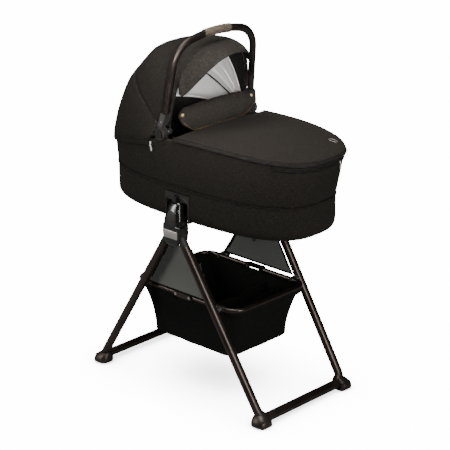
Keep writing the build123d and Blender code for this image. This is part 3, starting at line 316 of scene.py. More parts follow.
def apply_modifiers(piece):
    """Turns what the modifiers show into the piece's own mesh."""
    seen = piece.evaluated_get(bpy.context.evaluated_depsgraph_get())
    plain = bpy.data.meshes.new_from_object(seen)
    piece.modifiers.clear()
    old = piece.data
    piece.data = plain
    bpy.data.meshes.remove(old)
    return piece


def cloth_piece(name, mesh, materials, thick, inner=0, offset=-1.0):
    """A sheet of cloth given its thickness, smooth, with its weave laid on."""
    bmesh.ops.recalc_face_normals(mesh, faces=mesh.faces)
    piece = finish_mesh(mesh, name, materials)
    wall = piece.modifiers.new("thickness", "SOLIDIFY")
    wall.thickness = thick * MM
    wall.offset = offset
    wall.use_even_offset = False
    wall.material_offset = inner
    return lay_cloth(apply_modifiers(piece))


def sweep(name, path, section, materials, ups=None, closed=False, cloth=True):
    """Sweeps a section of (side, up) points in mm along a path; ups say where up is."""
    path = np.asarray(path, float)
    count = len(path)
    ahead = np.roll(path, -1, 0) - np.roll(path, 1, 0)
    if not closed:
        ahead[0], ahead[-1] = path[1] - path[0], path[-1] - path[-2]
    ahead /= np.linalg.norm(ahead, axis=1)[:, None]
    ups = np.tile((0.0, 0.0, 1.0), (count, 1)) if ups is None else np.asarray(ups, float)
    sides = np.cross(ahead, ups)
    sides /= np.linalg.norm(sides, axis=1)[:, None]
    ups = np.cross(sides, ahead)
    rows = [path[i] + np.array([s * sides[i] + u * ups[i] for s, u in section]) for i in range(count)]
    if closed:
        rows.append(rows[0])
    mesh = grid_mesh(rows, wrap=True)
    if not closed:
        bmesh.ops.holes_fill(mesh, edges=[e for e in mesh.edges if e.is_boundary], sides=0)
    bmesh.ops.recalc_face_normals(mesh, faces=mesh.faces)
    piece = finish_mesh(mesh, name, materials)
    return lay_cloth(piece) if cloth else piece


def closed_loft(name, rows, finish, fill=True):
    """A shape through rings of points, with its two ends filled."""
    mesh = grid_mesh(rows, wrap=True)
    if fill:
        bmesh.ops.holes_fill(mesh, edges=[e for e in mesh.edges if e.is_boundary], sides=0)
    bmesh.ops.recalc_face_normals(mesh, faces=mesh.faces)
    return finish_mesh(mesh, name, [finish])


def round_section(wide, high, points=10):
    """An oval section, in (side, up) points."""
    return [(wide * math.cos(2 * math.pi * i / points), high * math.sin(2 * math.pi * i / points))
            for i in range(points)]


def tape_section(out, half):
    """The section of a zip's tape: 0.4 mm of it lies behind the path, and it is twice half wide."""
    return [(-0.4, -half), (out, -half), (out, half), (-0.4, half)]


def joined(name, pieces):
    """Several meshes of the same materials as one object."""
    mesh = bmesh.new()
    finishes = [slot.material for slot in pieces[0].material_slots]
    for piece in pieces:
        mesh.from_mesh(piece.data)
        bpy.data.objects.remove(piece)
    data = bpy.data.meshes.new(name)
    mesh.to_mesh(data)
    mesh.free()
    for finish in finishes:
        data.materials.append(finish)
    made = bpy.data.objects.new(name, data)
    bpy.context.collection.objects.link(made)
    return made


def settle(piece, body, slot, *nodes, squash=False):
    """Says what a finished piece moves with and which nodes it replaces; slot is not used."""
    if squash:
        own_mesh(piece)
    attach(piece, body)
    if nodes:
        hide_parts(*nodes)
    print(piece.name, len(piece.data.polygons), "faces")
    return piece


def resample(path, step, closed=False):
    """Points evenly spaced along a path."""
    path = np.asarray(path, float)
    if closed:
        path = np.vstack([path, path[:1]])
    gone = np.concatenate([[0], np.cumsum(np.linalg.norm(np.diff(path, axis=0), axis=1))])
    count = max(2, int(round(gone[-1] / step)))
    at = np.linspace(0, gone[-1], count + (0 if closed else 1), endpoint=not closed)
    return np.column_stack([np.interp(at, gone, path[:, i]) for i in range(3)])


def tree_of(piece):
    """A tree of the piece's faces, for casting rays at them."""
    return BVHTree.FromPolygons([v.co[:] for v in piece.data.vertices], [p.vertices[:] for p in piece.data.polygons])


def corners(half_x, half_y, radius, steps):
    """The points of a rounded rectangle about its middle: half_x and half_y reach the corners' centres."""
    for cx, cy, start in ((1, 1, 0), (-1, 1, 90), (-1, -1, 180), (1, -1, 270)):
        for a in np.radians(np.linspace(start, start + 90, steps)):
            yield cx * half_x + radius * math.cos(a), cy * half_y + radius * math.sin(a)


def soft_noise(point, size, seed=0.0):
    """Smooth noise from -1 to 1 that changes over size millimetres."""
    return noise.noise(Vector(point) / size + Vector((seed, 7.3 * seed, 0)))

# %% [markdown]
# ## Repeats along a path
# Zip teeth and stitches are the same small shape hundreds of times along a line. Geometry Nodes
# place them: the path becomes a curve, the curve is resampled at the real pitch, and one shape
# is put on every point, turned to follow the line. The result is realized and made a plain mesh.

# %% A tree that repeats a shape along a path
def repeat_tree(finish):
    tree = bpy.data.node_groups.new("repeat along " + finish.name, "GeometryNodeTree")
    sockets = tree.interface
    sockets.new_socket("Geometry", in_out="INPUT", socket_type="NodeSocketGeometry")
    for label in ("Pitch", "Length", "Width", "Height"):
        sockets.new_socket(label, in_out="INPUT", socket_type="NodeSocketFloat")
    sockets.new_socket("Geometry", in_out="OUTPUT", socket_type="NodeSocketGeometry")
    given = add_node(tree, "NodeGroupInput")
    out = add_node(tree, "NodeGroupOutput")
    line = add_node(tree, "GeometryNodeMeshToCurve", Mesh=given.outputs["Geometry"])
    even = add_node(tree, "GeometryNodeResampleCurve", {"mode": "LENGTH"}, Curve=line.outputs["Curve"],
                    Length=given.outputs["Pitch"])
    size = add_node(tree, "ShaderNodeCombineXYZ", X=given.outputs["Width"], Y=given.outputs["Height"],
                    Z=given.outputs["Length"])
    block = add_node(tree, "GeometryNodeMeshCube", Size=size.outputs["Vector"])
    tangent = add_node(tree, "GeometryNodeInputTangent")
    normal = add_node(tree, "GeometryNodeInputNormal")
    first = add_node(tree, "FunctionNodeAlignRotationToVector", {"axis": "Z"}, Vector=tangent.outputs[0])
    turn = add_node(tree, "FunctionNodeAlignRotationToVector", {"axis": "Y", "pivot_axis": "Z"},
                    Rotation=first.outputs[0], Vector=normal.outputs[0])
    placed = add_node(tree, "GeometryNodeInstanceOnPoints", Points=even.outputs["Curve"],
                      Instance=block.outputs["Mesh"], Rotation=turn.outputs[0])
    real = add_node(tree, "GeometryNodeRealizeInstances", Geometry=placed.outputs["Instances"])
    painted = add_node(tree, "GeometryNodeSetMaterial", {"Material": finish}, Geometry=real.outputs[0])
    tree.links.new(painted.outputs[0], out.inputs[0])
    return tree


REPEATS = {}


def repeats(name, path, finish, pitch, length, width, height):
    """Small blocks every pitch mm along a path."""
    mesh = bmesh.new()
    verts = [mesh.verts.new(p) for p in path]
    for a, b in zip(verts, verts[1:]):
        mesh.edges.new((a, b))
    piece = finish_mesh(mesh, name, [finish])
    tree = REPEATS.setdefault(finish.name, repeat_tree(finish))
    maker = piece.modifiers.new("repeats", "NODES")
    maker.node_group = tree
    sizes = {"Pitch": pitch, "Length": length, "Width": width, "Height": height}
    for item in tree.interface.items_tree:
        if item.in_out == "INPUT" and item.name in sizes:
            maker[item.identifier] = sizes[item.name] * MM
    apply_modifiers(piece)
    piece.data.materials.clear()
    piece.data.materials.append(finish)
    return piece

# %% [markdown]
# ## The cot's outline
# Seen from above the cot is a superellipse: rounder than a rectangle, squarer than an ellipse. It
# flares from the waist seam to the top edge, and the top edge follows a line in side view: level
# over the legs, then sloping down behind the pivots where the hood is zipped on.

# %% The cot's outline and top edge
def outline(turn, inset=0.0, rise=0.0):
    """A point of the cot's plan outline: turn is an angle from the foot end, in radians."""
    along, across = math.cos(turn), math.sin(turn)
    reach = (FOOT + rise * FOOT_FLARE if along > 0 else HEAD + rise * HEAD_FLARE) - inset
    half = HALF + rise * SIDE_FLARE - inset
    x = STAND_X + math.copysign(reach * abs(along) ** (2 / FULLNESS), along)
    return x, math.copysign(half * abs(across) ** (2 / FULLNESS), across)


def rise_at(z):
    return max(0.0, (z - SEAM_Z) / (TOP_Z - SEAM_Z))


def arc_through(a, b, c):
    """Centre and radius of the circle through three points."""
    (ax, ay), (bx, by), (cx, cy) = a, b, c
    d = 2 * (ax * (by - cy) + bx * (cy - ay) + cx * (ay - by))
    sq = [x * x + y * y for x, y in (a, b, c)]
    x = (sq[0] * (by - cy) + sq[1] * (cy - ay) + sq[2] * (ay - by)) / d
    y = (sq[0] * (cx - bx) + sq[1] * (ax - cx) + sq[2] * (bx - ax)) / d
    return x, y, math.hypot(ax - x, ay - y)


EDGE_X, EDGE_Y, EDGE_R = arc_through(*EDGE_POINTS)


def edge_z(x):
    """The height of the cot's top edge."""
    if x < PIVOT[0]:
        return EDGE_POINTS[0][1] + (x - PIVOT[0]) * HEAD_SLOPE
    return EDGE_Y + math.sqrt(EDGE_R ** 2 - (x - EDGE_X) ** 2)


def on_wall(turn, z, out=0.0):
    x, y = outline(turn, -out, rise_at(z))
    return np.array([x, y, z])


def pushed_out(line, turns, out):
    """The points of a line round the cot, each moved outwards along its turn."""
    return [p + out * np.array([math.cos(t), math.sin(t), 0]) for p, t in zip(line, turns)]


def turn_at(x, side):
    """The turn where the top outline passes an x, on the near (-1) or far (1) side."""
    share = x - STAND_X
    reach = FOOT + FOOT_FLARE if share > 0 else HEAD + HEAD_FLARE
    along = math.copysign(min(1.0, abs(share) / reach) ** (FULLNESS / 2), share)
    return side * math.acos(along)


# Equal steps along the outline, with columns exactly on the edges of the side sockets.
_fine = np.linspace(-math.pi, math.pi, 4001)
_line = np.array([outline(t, 0, 0.5) for t in _fine])
_gone = np.concatenate([[0], np.cumsum(np.linalg.norm(np.diff(_line, axis=0), axis=1))])
AROUND = 264
TURNS = np.interp(np.linspace(0, _gone[-1], AROUND, endpoint=False), _gone, _fine)
for side in (-1, 1):
    for edge in (-1, 1):
        reach = FOOT if edge > 0 else HEAD
        exact = side * math.acos(edge * (SOCKET_HALF / reach) ** (FULLNESS / 2))
        TURNS[np.argmin(abs(TURNS - exact))] = exact

# %% [markdown]
# ## The lower cover
# Below the waist seam the cot is a moulded tub covered in the same cloth, drawn tight. It turns
# under the base in a soft radius and stops at the moulded sockets that drop over the hubs.

# %% The lower cover
def groove(distance, wide, deep):
    """How far a seam pulls the cloth in, at a distance from it."""
    return deep * math.exp(-(distance / wide) ** 2)


def in_socket(p, across):
    """Whether a point of the wall lies where a side socket covers it."""
    return abs(p[0] - STAND_X) < SOCKET_HALF and p[2] < SOCKET_TOP and abs(p[1]) > across


def at_knuckle(p, radius, across):
    """Whether a point lies where a handle pivot goes through the cloth."""
    return math.hypot(p[0] - PIVOT[0], p[2] - PIVOT[2]) < radius and abs(p[1]) > across


BASE_ROUND = 26.0
lower_rows = []
for share in (0.0, 0.35, 0.7, 0.92):
    x_y = [outline(t, BASE_ROUND, 0) for t in TURNS]
    lower_rows.append([(STAND_X + (x - STAND_X) * share, y * share, BASE_Z) for x, y in x_y])
for step in range(9):
    a = math.radians(90 * step / 8)
    inset, z = BASE_ROUND * (1 - math.sin(a)), BASE_Z + BASE_ROUND * (1 - math.cos(a))
    lower_rows.append([(*outline(t, inset, 0), z) for t in TURNS])
for z in list(np.linspace(632, 690, 9)) + [697, 703, 707.5, 709.6]:
    row = []
    for t in TURNS:
        x, y = outline(t, 0, 0)
        calm = 0.0 if abs(x - STAND_X) < 75 else 1.0
        puff = 0.8 * calm * soft_noise((x, y, z), 95) + 0.9 - groove(z - SEAM_Z, 4.0, 2.2)
        x, y = outline(t, -puff, 0)
        if abs(x - STAND_X) < SOCKET_HALF + 1 and z <= SOCKET_TOP + 0.1:
            x = outline(t, 0, 0)[0]
        row.append((x, y, z))
    lower_rows.append(row)
lower_mesh = grid_mesh(lower_rows, wrap=True, keep=lambda p: not in_socket(p, 171.5))
lower = cloth_piece("lower_cover_cloth", lower_mesh, [COVER, LINING], 3.0, inner=1)
settle(lower, "cot", "body_fabric", "lower_cover")

piping = sweep("waist_piping", [on_wall(t, SEAM_Z, 1.2) for t in TURNS], round_section(2.1, 2.1),
               [BINDING], closed=True)
settle(piping, "cot", "body_fabric")

# %% [markdown]
# ## The upper cover
# Above the seam the cover is padded and cut in panels: one over each side, one round the head
# and one round the foot. The panels meet in vertical seams that pull the padding in. The cloth
# rolls over the frame hoop at the top edge.

# %% The upper cover
SEAM_X = (-124.0, 330.0)
upper_rows = []
SHARES = np.concatenate([[0, 0.02, 0.05], np.linspace(0.1, 0.92, 15), [0.96, 1.0]])
for share in SHARES:
    row = []
    for t in TURNS:
        x0, y0 = outline(t, 0, rise_at(TOP_Z))
        top = edge_z(x0)
        z = SEAM_Z + 0.4 + share * (top - SEAM_Z - 0.4)
        puff = 1.5 * math.sin(math.pi * share) ** 0.6
        puff += 0.9 * soft_noise((x0, y0, z * 0.7), 110, 2.0) * math.sin(math.pi * share)
        puff -= groove(z - SEAM_Z, 4.0, 1.6)
        for seam in SEAM_X:
            seam += 9.0 * (share - 0.5) if seam < 0 else 0.0
            puff -= groove(x0 - seam, 3.0, 1.9)
            puff += 0.6 * math.exp(-((abs(x0 - seam) - 8.0) / 5.0) ** 2)
        puff *= 0.25 if share > 0.99 else 1.0
        row.append(on_wall(t, z, puff))
    upper_rows.append(row)
for inset, lift in ((1.0, 0.9), (3.5, 1.6), (8.0, 1.8), (13.0, 0.8), (15.0, -3.0)):
    row = []
    for t in TURNS:
        x, y = outline(t, inset, 1.0)
        row.append((x, y, edge_z(x) + lift - 1.0))
    upper_rows.append(row)
upper_mesh = grid_mesh(upper_rows, wrap=True, keep=lambda p: not at_knuckle(p, 23, 203))
upper = cloth_piece("upper_cover_cloth", upper_mesh, [COVER, LINING], 2.2, inner=1)
settle(upper, "cot", "body_fabric", "upper_cover")

# %% [markdown]
# ## The lining
# Inside, the cot is lined with black jersey that hangs in soft upright folds and is gathered
# under the top edge.

# %% The cot's lining
lining_rows = []
for share in np.linspace(0, 1, 14):
    row = []
    for i, t in enumerate(TURNS):
        x0, y0 = outline(t, 18.0, 1.0)
        z = 652.0 + share * (edge_z(x0) - 3.0 - 652.0)
        fold = 1.4 * math.sin(2 * math.pi * i / 6 + 1.5 * soft_noise((x0, y0, 0), 60)) * share * (1.2 - share)
        x, y = outline(t, 17.0 + fold, rise_at(z))
        row.append((x, y, z))
    lining_rows.append(row)
lining_mesh = grid_mesh(lining_rows, wrap=True, keep=lambda p: not in_socket(p, 168))
lining = cloth_piece("cot_lining", lining_mesh, [LINING], 1.5)
settle(lining, "cot", "liner_fabric", "liner")

# %% [markdown]
# ## The apron
# The apron covers the cot's foot half. It is zipped to the top edge all round the foot, rises over a narrow
# side band to a corded seam and then arches gently across the cot. Towards the hood it ends in
# a bound edge under the wind flap.

# %% The apron
APRON_START = -30.0
BAND = ((-1.0, 0.8), (-2.2, 3.0), (-2.0, 5.5), (-0.4, 8.0), (1.6, 9.6), (3.2, 9.9))
apron_turns = TURNS[[i for i, t in enumerate(TURNS) if outline(t, 0, 1)[0] > APRON_START + 2.0]]
apron_turns = np.sort(np.append(apron_turns, [turn_at(APRON_START, -1), turn_at(APRON_START, 1)]))
apron_rows = []
for inset, lift in BAND:
    apron_rows.append([(*outline(t, inset, 1.0), edge_z(outline(t, inset, 1.0)[0]) + lift)
                       for t in apron_turns])
for share in np.concatenate([[0.012, 0.03, 0.06], np.linspace(0.1, 1.0, 16)]):
    row = []
    for t in apron_turns:
        x, y = outline(t, 3.2, 1.0)
        spine = min(x, 285.0)
        px, py = x + (spine - x) * share, y * (1 - share)
        crown = 9.9 + 9.5 * (1 - (1 - share) ** 2.4) - 1.6 * math.exp(-((share - 0.012) / 0.012) ** 2)
        crown += 1.3 * soft_noise((px * 0.8, py, 0), 90, 4.0) * min(1.0, share * 5)
        crown -= 7.0 * math.exp(-((px - 15.0) / 65.0) ** 2) * min(1.0, share * 8)
        row.append((px, py, edge_z(px) + crown))
    apron_rows.append(row)
apron = cloth_piece("apron_cloth", grid_mesh(apron_rows), [COVER, LINING], 2.0, inner=1)
settle(apron, "cot", "body_fabric", "apron")

zip_line = [np.array([*outline(t, -2.4, 1.0), edge_z(outline(t, 0, 1.0)[0]) + 0.3]) for t in apron_turns]
cord_line = [np.array([*outline(t, 1.6, 1.0), edge_z(outline(t, 0, 1.0)[0]) + 10.6]) for t in apron_turns]
settle(sweep("apron_cord", cord_line, round_section(1.5, 1.5, 8), [BINDING]), "cot", "body_fabric")
settle(sweep("apron_zip_tape", zip_line, tape_section(0.5, 4.2), [BINDING]),
       "cot", "body_fabric")
zip_outside = pushed_out(zip_line, apron_turns, 0.7)
settle(repeats("apron_zip_teeth", zip_outside, NYLON, 2.6, 1.7, 1.6, 3.2), "cot", "body_fabric")

# %% [markdown]
# ## The other zips
# The hood is zipped to the cot behind the handle pivots, and a vent zip runs round the foot just
# below the apron. Each has a tape sewn to the cover, nylon teeth and a metal slider with a pull.

# %% Zips and their pullers
VENT_DROP = 17.0


def hem_z(x):
    """The height of the hood's zip line: lower under the pivots than at the head end."""
    return edge_z(x) - 4.0 - 15.0 * min(1.0, max(0.0, (x + 397.0) / 262.0))


hem_turns = np.array([t % (2 * math.pi) for t in TURNS if outline(t, 0, 1)[0] < -112.0])
hem_turns.sort()
hem_line = []
for t in hem_turns:
    x, y = outline(t, 0, 1.0)
    hem_line.append(on_wall(t, hem_z(x), 3.6))
settle(sweep("hood_zip_tape", hem_line, tape_section(0.6, 4.0), [BINDING]),
       "cot", "body_fabric")
hem_outside = pushed_out(hem_line, hem_turns, 0.8)
settle(repeats("hood_zip_teeth", hem_outside, NYLON, 2.6, 1.7, 1.6, 3.0), "cot", "body_fabric")

vent_turns = sorted(t for t in TURNS if outline(t, 0, 1)[0] > 332.0)
vent_line = [on_wall(t, edge_z(outline(t, 0, 1)[0]) - VENT_DROP, 1.5) for t in vent_turns]
settle(sweep("vent_zip_tape", vent_line, tape_section(0.6, 5.0), [BINDING]),
       "cot", "body_fabric")
vent_outside = pushed_out(vent_line, vent_turns, 0.8)
settle(repeats("vent_zip_teeth", vent_outside, NYLON, 2.6, 1.7, 1.6, 3.0), "cot", "body_fabric")


TAB_SECTION = ((-1, 0.5), (-0.8, 1.1), (0.8, 1.1), (1, 0.5), (1, -0.5), (0.8, -1.0), (-0.8, -1.0), (-1, -0.5))
SLIDER_SECTION = ((-3, -3.6), (3, -3.6), (3.6, 0), (3, 4.2), (-3, 4.2), (-3.6, 0))


def puller(name, top, outward, length=24.0, lean=0.0):
    """A zip slider with its pull hanging from it: a loop, a neck and a long rounded tab."""
    top = np.asarray(top, float)
    outward = np.array([*outward, 0.0]) / math.hypot(*outward)
    along = np.cross((0, 0, 1.0), outward)
    down = np.array([0, 0, -1.0]) * math.cos(lean) + along * math.sin(lean)
    path = [top + outward * 2.6 + down * d for d in np.linspace(0, length, 12)]
    widths = [2.2, 2.6, 2.0, 1.7, 2.2, 2.9, 3.3, 3.5, 3.6, 3.6, 3.3, 2.2]
    side = np.cross(outward, down)
    rows = [[p + side * s * w + outward * u for s, u in TAB_SECTION] for p, w in zip(path, widths)]
    tab = closed_loft(name, rows, SILVER)
    body_path = [top + outward * u for u in (0.4, 1.2, 2.6, 3.4)]
    rows = [[p + side * s * k + down * d * k for s, d in SLIDER_SECTION]
            for p, k in zip(body_path, (1.0, 1.0, 0.85, 0.5))]
    return joined(name, [tab, closed_loft(name + "_slider", rows, SILVER)])


near_hem = on_wall(hem_turns[-1], hem_z(-118.0), 4.5)
settle(puller("hood_zip_puller", near_hem + np.array([-10.0, -0.6, 4.0]), (-0.1, -1.0), 27.0, 0.25),
       "cot", "steel")
foot_turn = math.asin((63.0 / 211.0) ** (FULLNESS / 2))
vent_end = on_wall(foot_turn, edge_z(425.0) - VENT_DROP, 2.5)
settle(puller("vent_zip_puller", vent_end, (1.0, 0.15), 26.0), "cot", "steel")

# A plain raised oval ring stands where the apron carries a badge.
badge_path = [np.array([342 + 15 * math.cos(a), 121 + 10 * math.sin(a), 0])
              for a in np.linspace(0, 2 * math.pi, 40, endpoint=False)]
apron_tree = tree_of(apron)


def on_apron(x, y, lift):
    """A point above the apron's cloth, in mm."""
    hit = apron_tree.ray_cast(Vector((x, y, 1200)) * MM, Vector((0, 0, -1)))[0]
    return np.array([x, y, hit.z / MM + lift])


badge_path = [on_apron(p[0], p[1], 0.3) for p in badge_path]
settle(sweep("apron_badge_ring", badge_path, round_section(0.9, 0.6, 8), [BRUSHED], closed=True, cloth=False),
       "cot", "badge_metal")

# %% [markdown]
# ## The hood
# One cloth is stretched from the front frame over a middle rib to the cot's edge. Seen from the
# side its ridge sinks a little between the ribs, because cloth pulled two ways makes a saddle.
# Each row of the grid is an arch that starts and ends near the handle pivots.

# %% The hood's shape
HOOD_TABLE = np.array([
    # turn from the foot in degrees, top radius, half width
    (80.0, 270.0, 174.0), (86.0, 270.0, 175.5), (92.0, 269.0, 178.0), (104.0, 269.0, 182.0),
    (112.0, 273.0, 184.5), (118.0, 279.0, 186.5), (124.0, 281.0, 187.5), (131.0, 277.0, 188.5),
    (141.0, 277.0, 190.0), (150.0, 283.0, 193.5), (160.0, 291.0, 198.0), (172.0, 305.0, 205.0),
    (183.0, 323.0, 211.0), (193.3, 347.0, 215.0)])
HOOD_TURNS = np.concatenate([np.linspace(80, 140, 31), np.linspace(141, 193.3, 27)])
HEM_TURN, LOFT_TURN = 193.3, 150.0
ARCH_POWER = 2 / 3.0
ARCH_TURNS = np.linspace(0.02, 1.0, 34) ** 1.15


def hood_arch(turn, reach, half, share):
    """A point of the arch at a turn: share runs from 0 at the pivot to 1 at the top, signed."""
    side = math.copysign(1, share)
    a = abs(share) * math.pi / 2
    y, r = half * math.cos(a) ** ARCH_POWER * side, reach * math.sin(a) ** ARCH_POWER
    t = math.radians(turn)
    return np.array([PIVOT[0] + r * math.cos(t), y if abs(share) < 1 else 0.0, PIVOT[2] + r * math.sin(t)])


def hood_hem(share, out):
    """The same share on the cot's top edge, behind the pivots."""
    rho = math.sin(abs(share) * math.pi / 2) ** ARCH_POWER
    x = PIVOT[0] - 22.0 - 317.5 * rho
    t = turn_at(x, math.copysign(1, share)) if rho < 1 else math.pi
    point = on_wall(t, edge_z(x), out)
    return np.array([x - out * rho ** 4, point[1] if rho < 1 else 0.0, edge_z(x) + 1.0])


def hood_point(turn, share, inset=0.0):
    reach, half = (np.interp(turn, HOOD_TABLE[:, 0], HOOD_TABLE[:, i]) for i in (1, 2))
    mix = min(1.0, max(0.0, (turn - LOFT_TURN) / (HEM_TURN - LOFT_TURN)))
    mix = mix * mix * (3 - 2 * mix)
    rho = math.sin(abs(share) * math.pi / 2)
    crease = groove(turn - 141.0, 0.9, 4.0) + groove(turn - 117.0, 0.5, 1.8)
    swell = 2.0 * math.sin(math.pi * min(1, max(0, (turn - 141) / 52.0))) * (0.35 + 0.65 * (1 - rho))
    swell -= 1.5 * math.sin(math.pi * min(1, max(0, (turn - 88) / 52.0))) * (1 - rho) * rho * 2
    swell += 1.2 * soft_noise((turn * 2.2, share * 160, 0), 60, 5.0)
    swell -= 2.4 * groove(turn - 80.0, 1.5, 0.6)
    grow = swell - crease - inset
    arch = hood_arch(turn, reach + grow, half + grow, share)
    hem = hood_hem(share, 4.0 + 0.3 * grow)
    return arch * (1 - mix) + hem * mix


hood_shares = np.concatenate([-ARCH_TURNS[:-1], ARCH_TURNS[::-1]])
hood_rows = []
for inset, turn in ((3.5, 80.6), (3.8, 80.0), (2.2, 79.3), (0.2, 79.2)):
    hood_rows.append([hood_point(turn, s, inset) for s in hood_shares])
hood_rows += [[hood_point(turn, s) for s in hood_shares] for turn in HOOD_TURNS]
for drop, out in ((0.35, 5.2), (0.75, 4.6), (1.1, 3.6)):
    row = []
    for s in hood_shares:
        p = hood_hem(s, out)
        row.append(np.array([p[0], p[1], edge_z(p[0]) + 1 - drop * (edge_z(p[0]) + 4 - hem_z(p[0]))]))
    hood_rows.append(row)
hood_mesh = grid_mesh(hood_rows, keep=lambda p: not at_knuckle(p, 25, 196))
hood = cloth_piece("hood_cloth", hood_mesh, [HOOD, LINING], 1.8, inner=1)


def bend_hood(piece):
    """Bakes the piece's placement into its own mesh."""
    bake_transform(piece)
    return piece


bend_hood(hood)
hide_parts("hood_rear", "hood_middle", "hood_front")

# Piping marks the front frame.
front_cord = sweep("hood_front_piping", [hood_point(79.4, s, 1.6) for s in hood_shares],
                   round_section(1.8, 1.8, 8), [BINDING],
                   ups=[(math.cos(math.radians(79.4)), 0, math.sin(math.radians(79.4)))] * len(hood_shares))
settle(front_cord, "handle", "body_fabric")

# %% [markdown]
# ## Inside the hood
# The hood has its own lining. Most of it is black, but the middle of each side is pale spacer
# mesh for air, cut as a fan that narrows to the handle pivot and bound in a pale tape.

# %% The pale lining
FAN = (107.5, 168.0)
for side, label in ((1, "far"), (-1, "near")):
    fan_shares = np.array([s for s in ARCH_TURNS if 0.045 < s < 0.83])
    rows = [[hood_point(turn, side * s, 7.0) for s in fan_shares] for turn in np.linspace(*FAN, 26)]
    fan = cloth_piece(f"pale_lining_{label}", grid_mesh(rows), [PALE_LINING], 1.2)
    bend_hood(fan)
    tapes = []
    for turn in (FAN[0], 127.0, FAN[1]):
        path = [hood_point(turn, side * s, 8.6) for s in fan_shares]
        t = math.radians(turn)
        tapes.append(sweep("tape", path, [(-3.2, -0.5), (3.2, -0.5), (3.2, 0.5), (-3.2, 0.5)], [PALE_BINDING],
                           ups=[(0, side, 0.02)] * len(path)))
    tape = joined(f"pale_binding_{label}", tapes)
    bend_hood(tape)

# %% [markdown]
# ## The visor
# The eyeshade is a second cloth under the front frame. It slopes down and forward, high over the
# middle and dropping to a rounded lobe at each side. Its free edge is bound.

# %% The visor
VISOR_EDGE = np.array([
    # across, distance from the pivot axis, turn from the foot
    (0.0, 276.0, 62.5), (30.0, 272.5, 62.5), (58.0, 262.0, 62.5), (82.0, 246.0, 62.5),
    (104.0, 222.0, 62.8), (120.0, 199.0, 63.2), (133.0, 177.0, 64.0), (144.0, 155.0, 65.3),
    (153.0, 138.0, 67.0), (161.0, 130.0, 68.5), (168.0, 132.0, 70.0), (172.0, 143.0, 71.5),
    (173.5, 160.0, 73.5)])


def visor_back(share):
    """Where the visor leaves the hood, under the front frame: share is -1 to 1 across."""
    return hood_arch(80.6, 268.5, 172.5, math.copysign(min(1 - abs(share) * 0.62, 0.999999), share or 1.0))


def visor_front(share):
    """The visor's free edge."""
    places = np.concatenate([[0], np.cumsum(np.linalg.norm(np.diff(VISOR_EDGE[:, :2], axis=0), axis=1))])
    y, r, turn = (np.interp(abs(share) * places[-1], places, VISOR_EDGE[:, i]) for i in range(3))
    t = math.radians(turn)
    return np.array([PIVOT[0] + r * math.cos(t), math.copysign(y, share), PIVOT[2] + r * math.sin(t)])


visor_rows = []
for u in np.concatenate([np.linspace(0, 0.9, 13), [0.95, 0.98, 1.0]]):
    row = []
    for share in np.linspace(-1, 1, 61):
        b, f = visor_back(share), visor_front(share)
        p = b * (1 - u) + f * u
        out = 9.0 * math.sin(math.pi * u) * (1 - 0.5 * abs(share) ** 2)
        out += 1.2 * soft_noise((share * 150, u * 80, 0), 45, 9.0) * math.sin(math.pi * u)
        out -= groove(u - 0.95, 0.012, 0.9)
        away = p - PIVOT
        row.append(p + away / np.linalg.norm(away) * out)
    visor_rows.append(row)
visor = cloth_piece("visor_cloth", grid_mesh(visor_rows), [COVER, LINING], 2.0, inner=1)
settle(visor, "visor", "body_fabric", "visor")
edge_ups = [(math.cos(math.radians(69.5)), 0, math.sin(math.radians(69.5)))] * 61
settle(sweep("visor_binding", [visor_front(s) for s in np.linspace(-1, 1, 61)], round_section(2.0, 2.0, 8),
             [BINDING], ups=edge_ups), "visor", "body_fabric")

# %% [markdown]
# ## The wind flap
# The flap is a padded cuff that stands at the head of the apron and folds back over itself. It is
# stuffed, so it is made with a cloth simulation: a slightly smaller shape is remeshed to an even
# grid, then blown up gently until the cover is tight over the wadding.

# %% Padding by simulation
def pad(piece, voxel_mm, pressure, cap_mm, frames=20):
    """Blows up a closed mesh like a stuffed cover: no point moves more than cap_mm."""
    mesh = piece.modifiers.new("even", "REMESH")
    mesh.mode = "VOXEL"
    mesh.voxel_size = voxel_mm * MM
    apply_modifiers(piece)
    before = np.array([v.co for v in piece.data.vertices])
    cloth = piece.modifiers.new("cloth", "CLOTH")
    cloth.settings.use_pressure = True
    cloth.settings.uniform_pressure_force = pressure
    cloth.settings.effector_weights.gravity = 0
    scene = bpy.context.scene
    scene.frame_start, scene.frame_end = 1, frames
    cloth.point_cache.frame_start, cloth.point_cache.frame_end = 1, frames
    for step in range(1, frames + 1):
        scene.frame_set(step)
    apply_modifiers(piece)
    scene.frame_set(1)
    after = np.array([v.co for v in piece.data.vertices])
    moved = after - before
    far = np.linalg.norm(moved, axis=1)
    moved *= np.minimum(1.0, cap_mm * MM / np.maximum(far, 1e-9))[:, None]
    for vertex, spot in zip(piece.data.vertices, before + moved):
        vertex.co = spot
    smoother = piece.modifiers.new("smooth", "SUBSURF")
    smoother.levels = smoother.render_levels = 1
    apply_modifiers(piece)
    piece.data.polygons.foreach_set("use_smooth", [True] * len(piece.data.polygons))
    return lay_cloth(piece)


# %% The wind flap
FLAP_HALF = 170.0


def flap_section(y):
    """The flap's outline at a place across: a fat roll above, thinner and narrower towards the hem."""
    share = abs(y) / FLAP_HALF
    top = 963.0 - 9.0 * share ** 2.0 - 21.0 * max(0.0, share - 0.88) ** 0.5 * 2.6
    low = 876.0 - 3.0 * (1 - share ** 2) + 34.0 * max(0.0, share - 0.70) ** 1.25 * 4.2
    ring = []
    for i in range(22):
        a = 2 * math.pi * i / 22
        height = (math.sin(a) + 1) / 2
        thick = (7.0 + 7.5 * height ** 0.8) * (1 - 0.35 * share ** 6)
        x = -32.0 - 18.0 * height ** 1.2 + thick * math.cos(a)
        ring.append((x, y, low + (top - low) * height))
    return ring


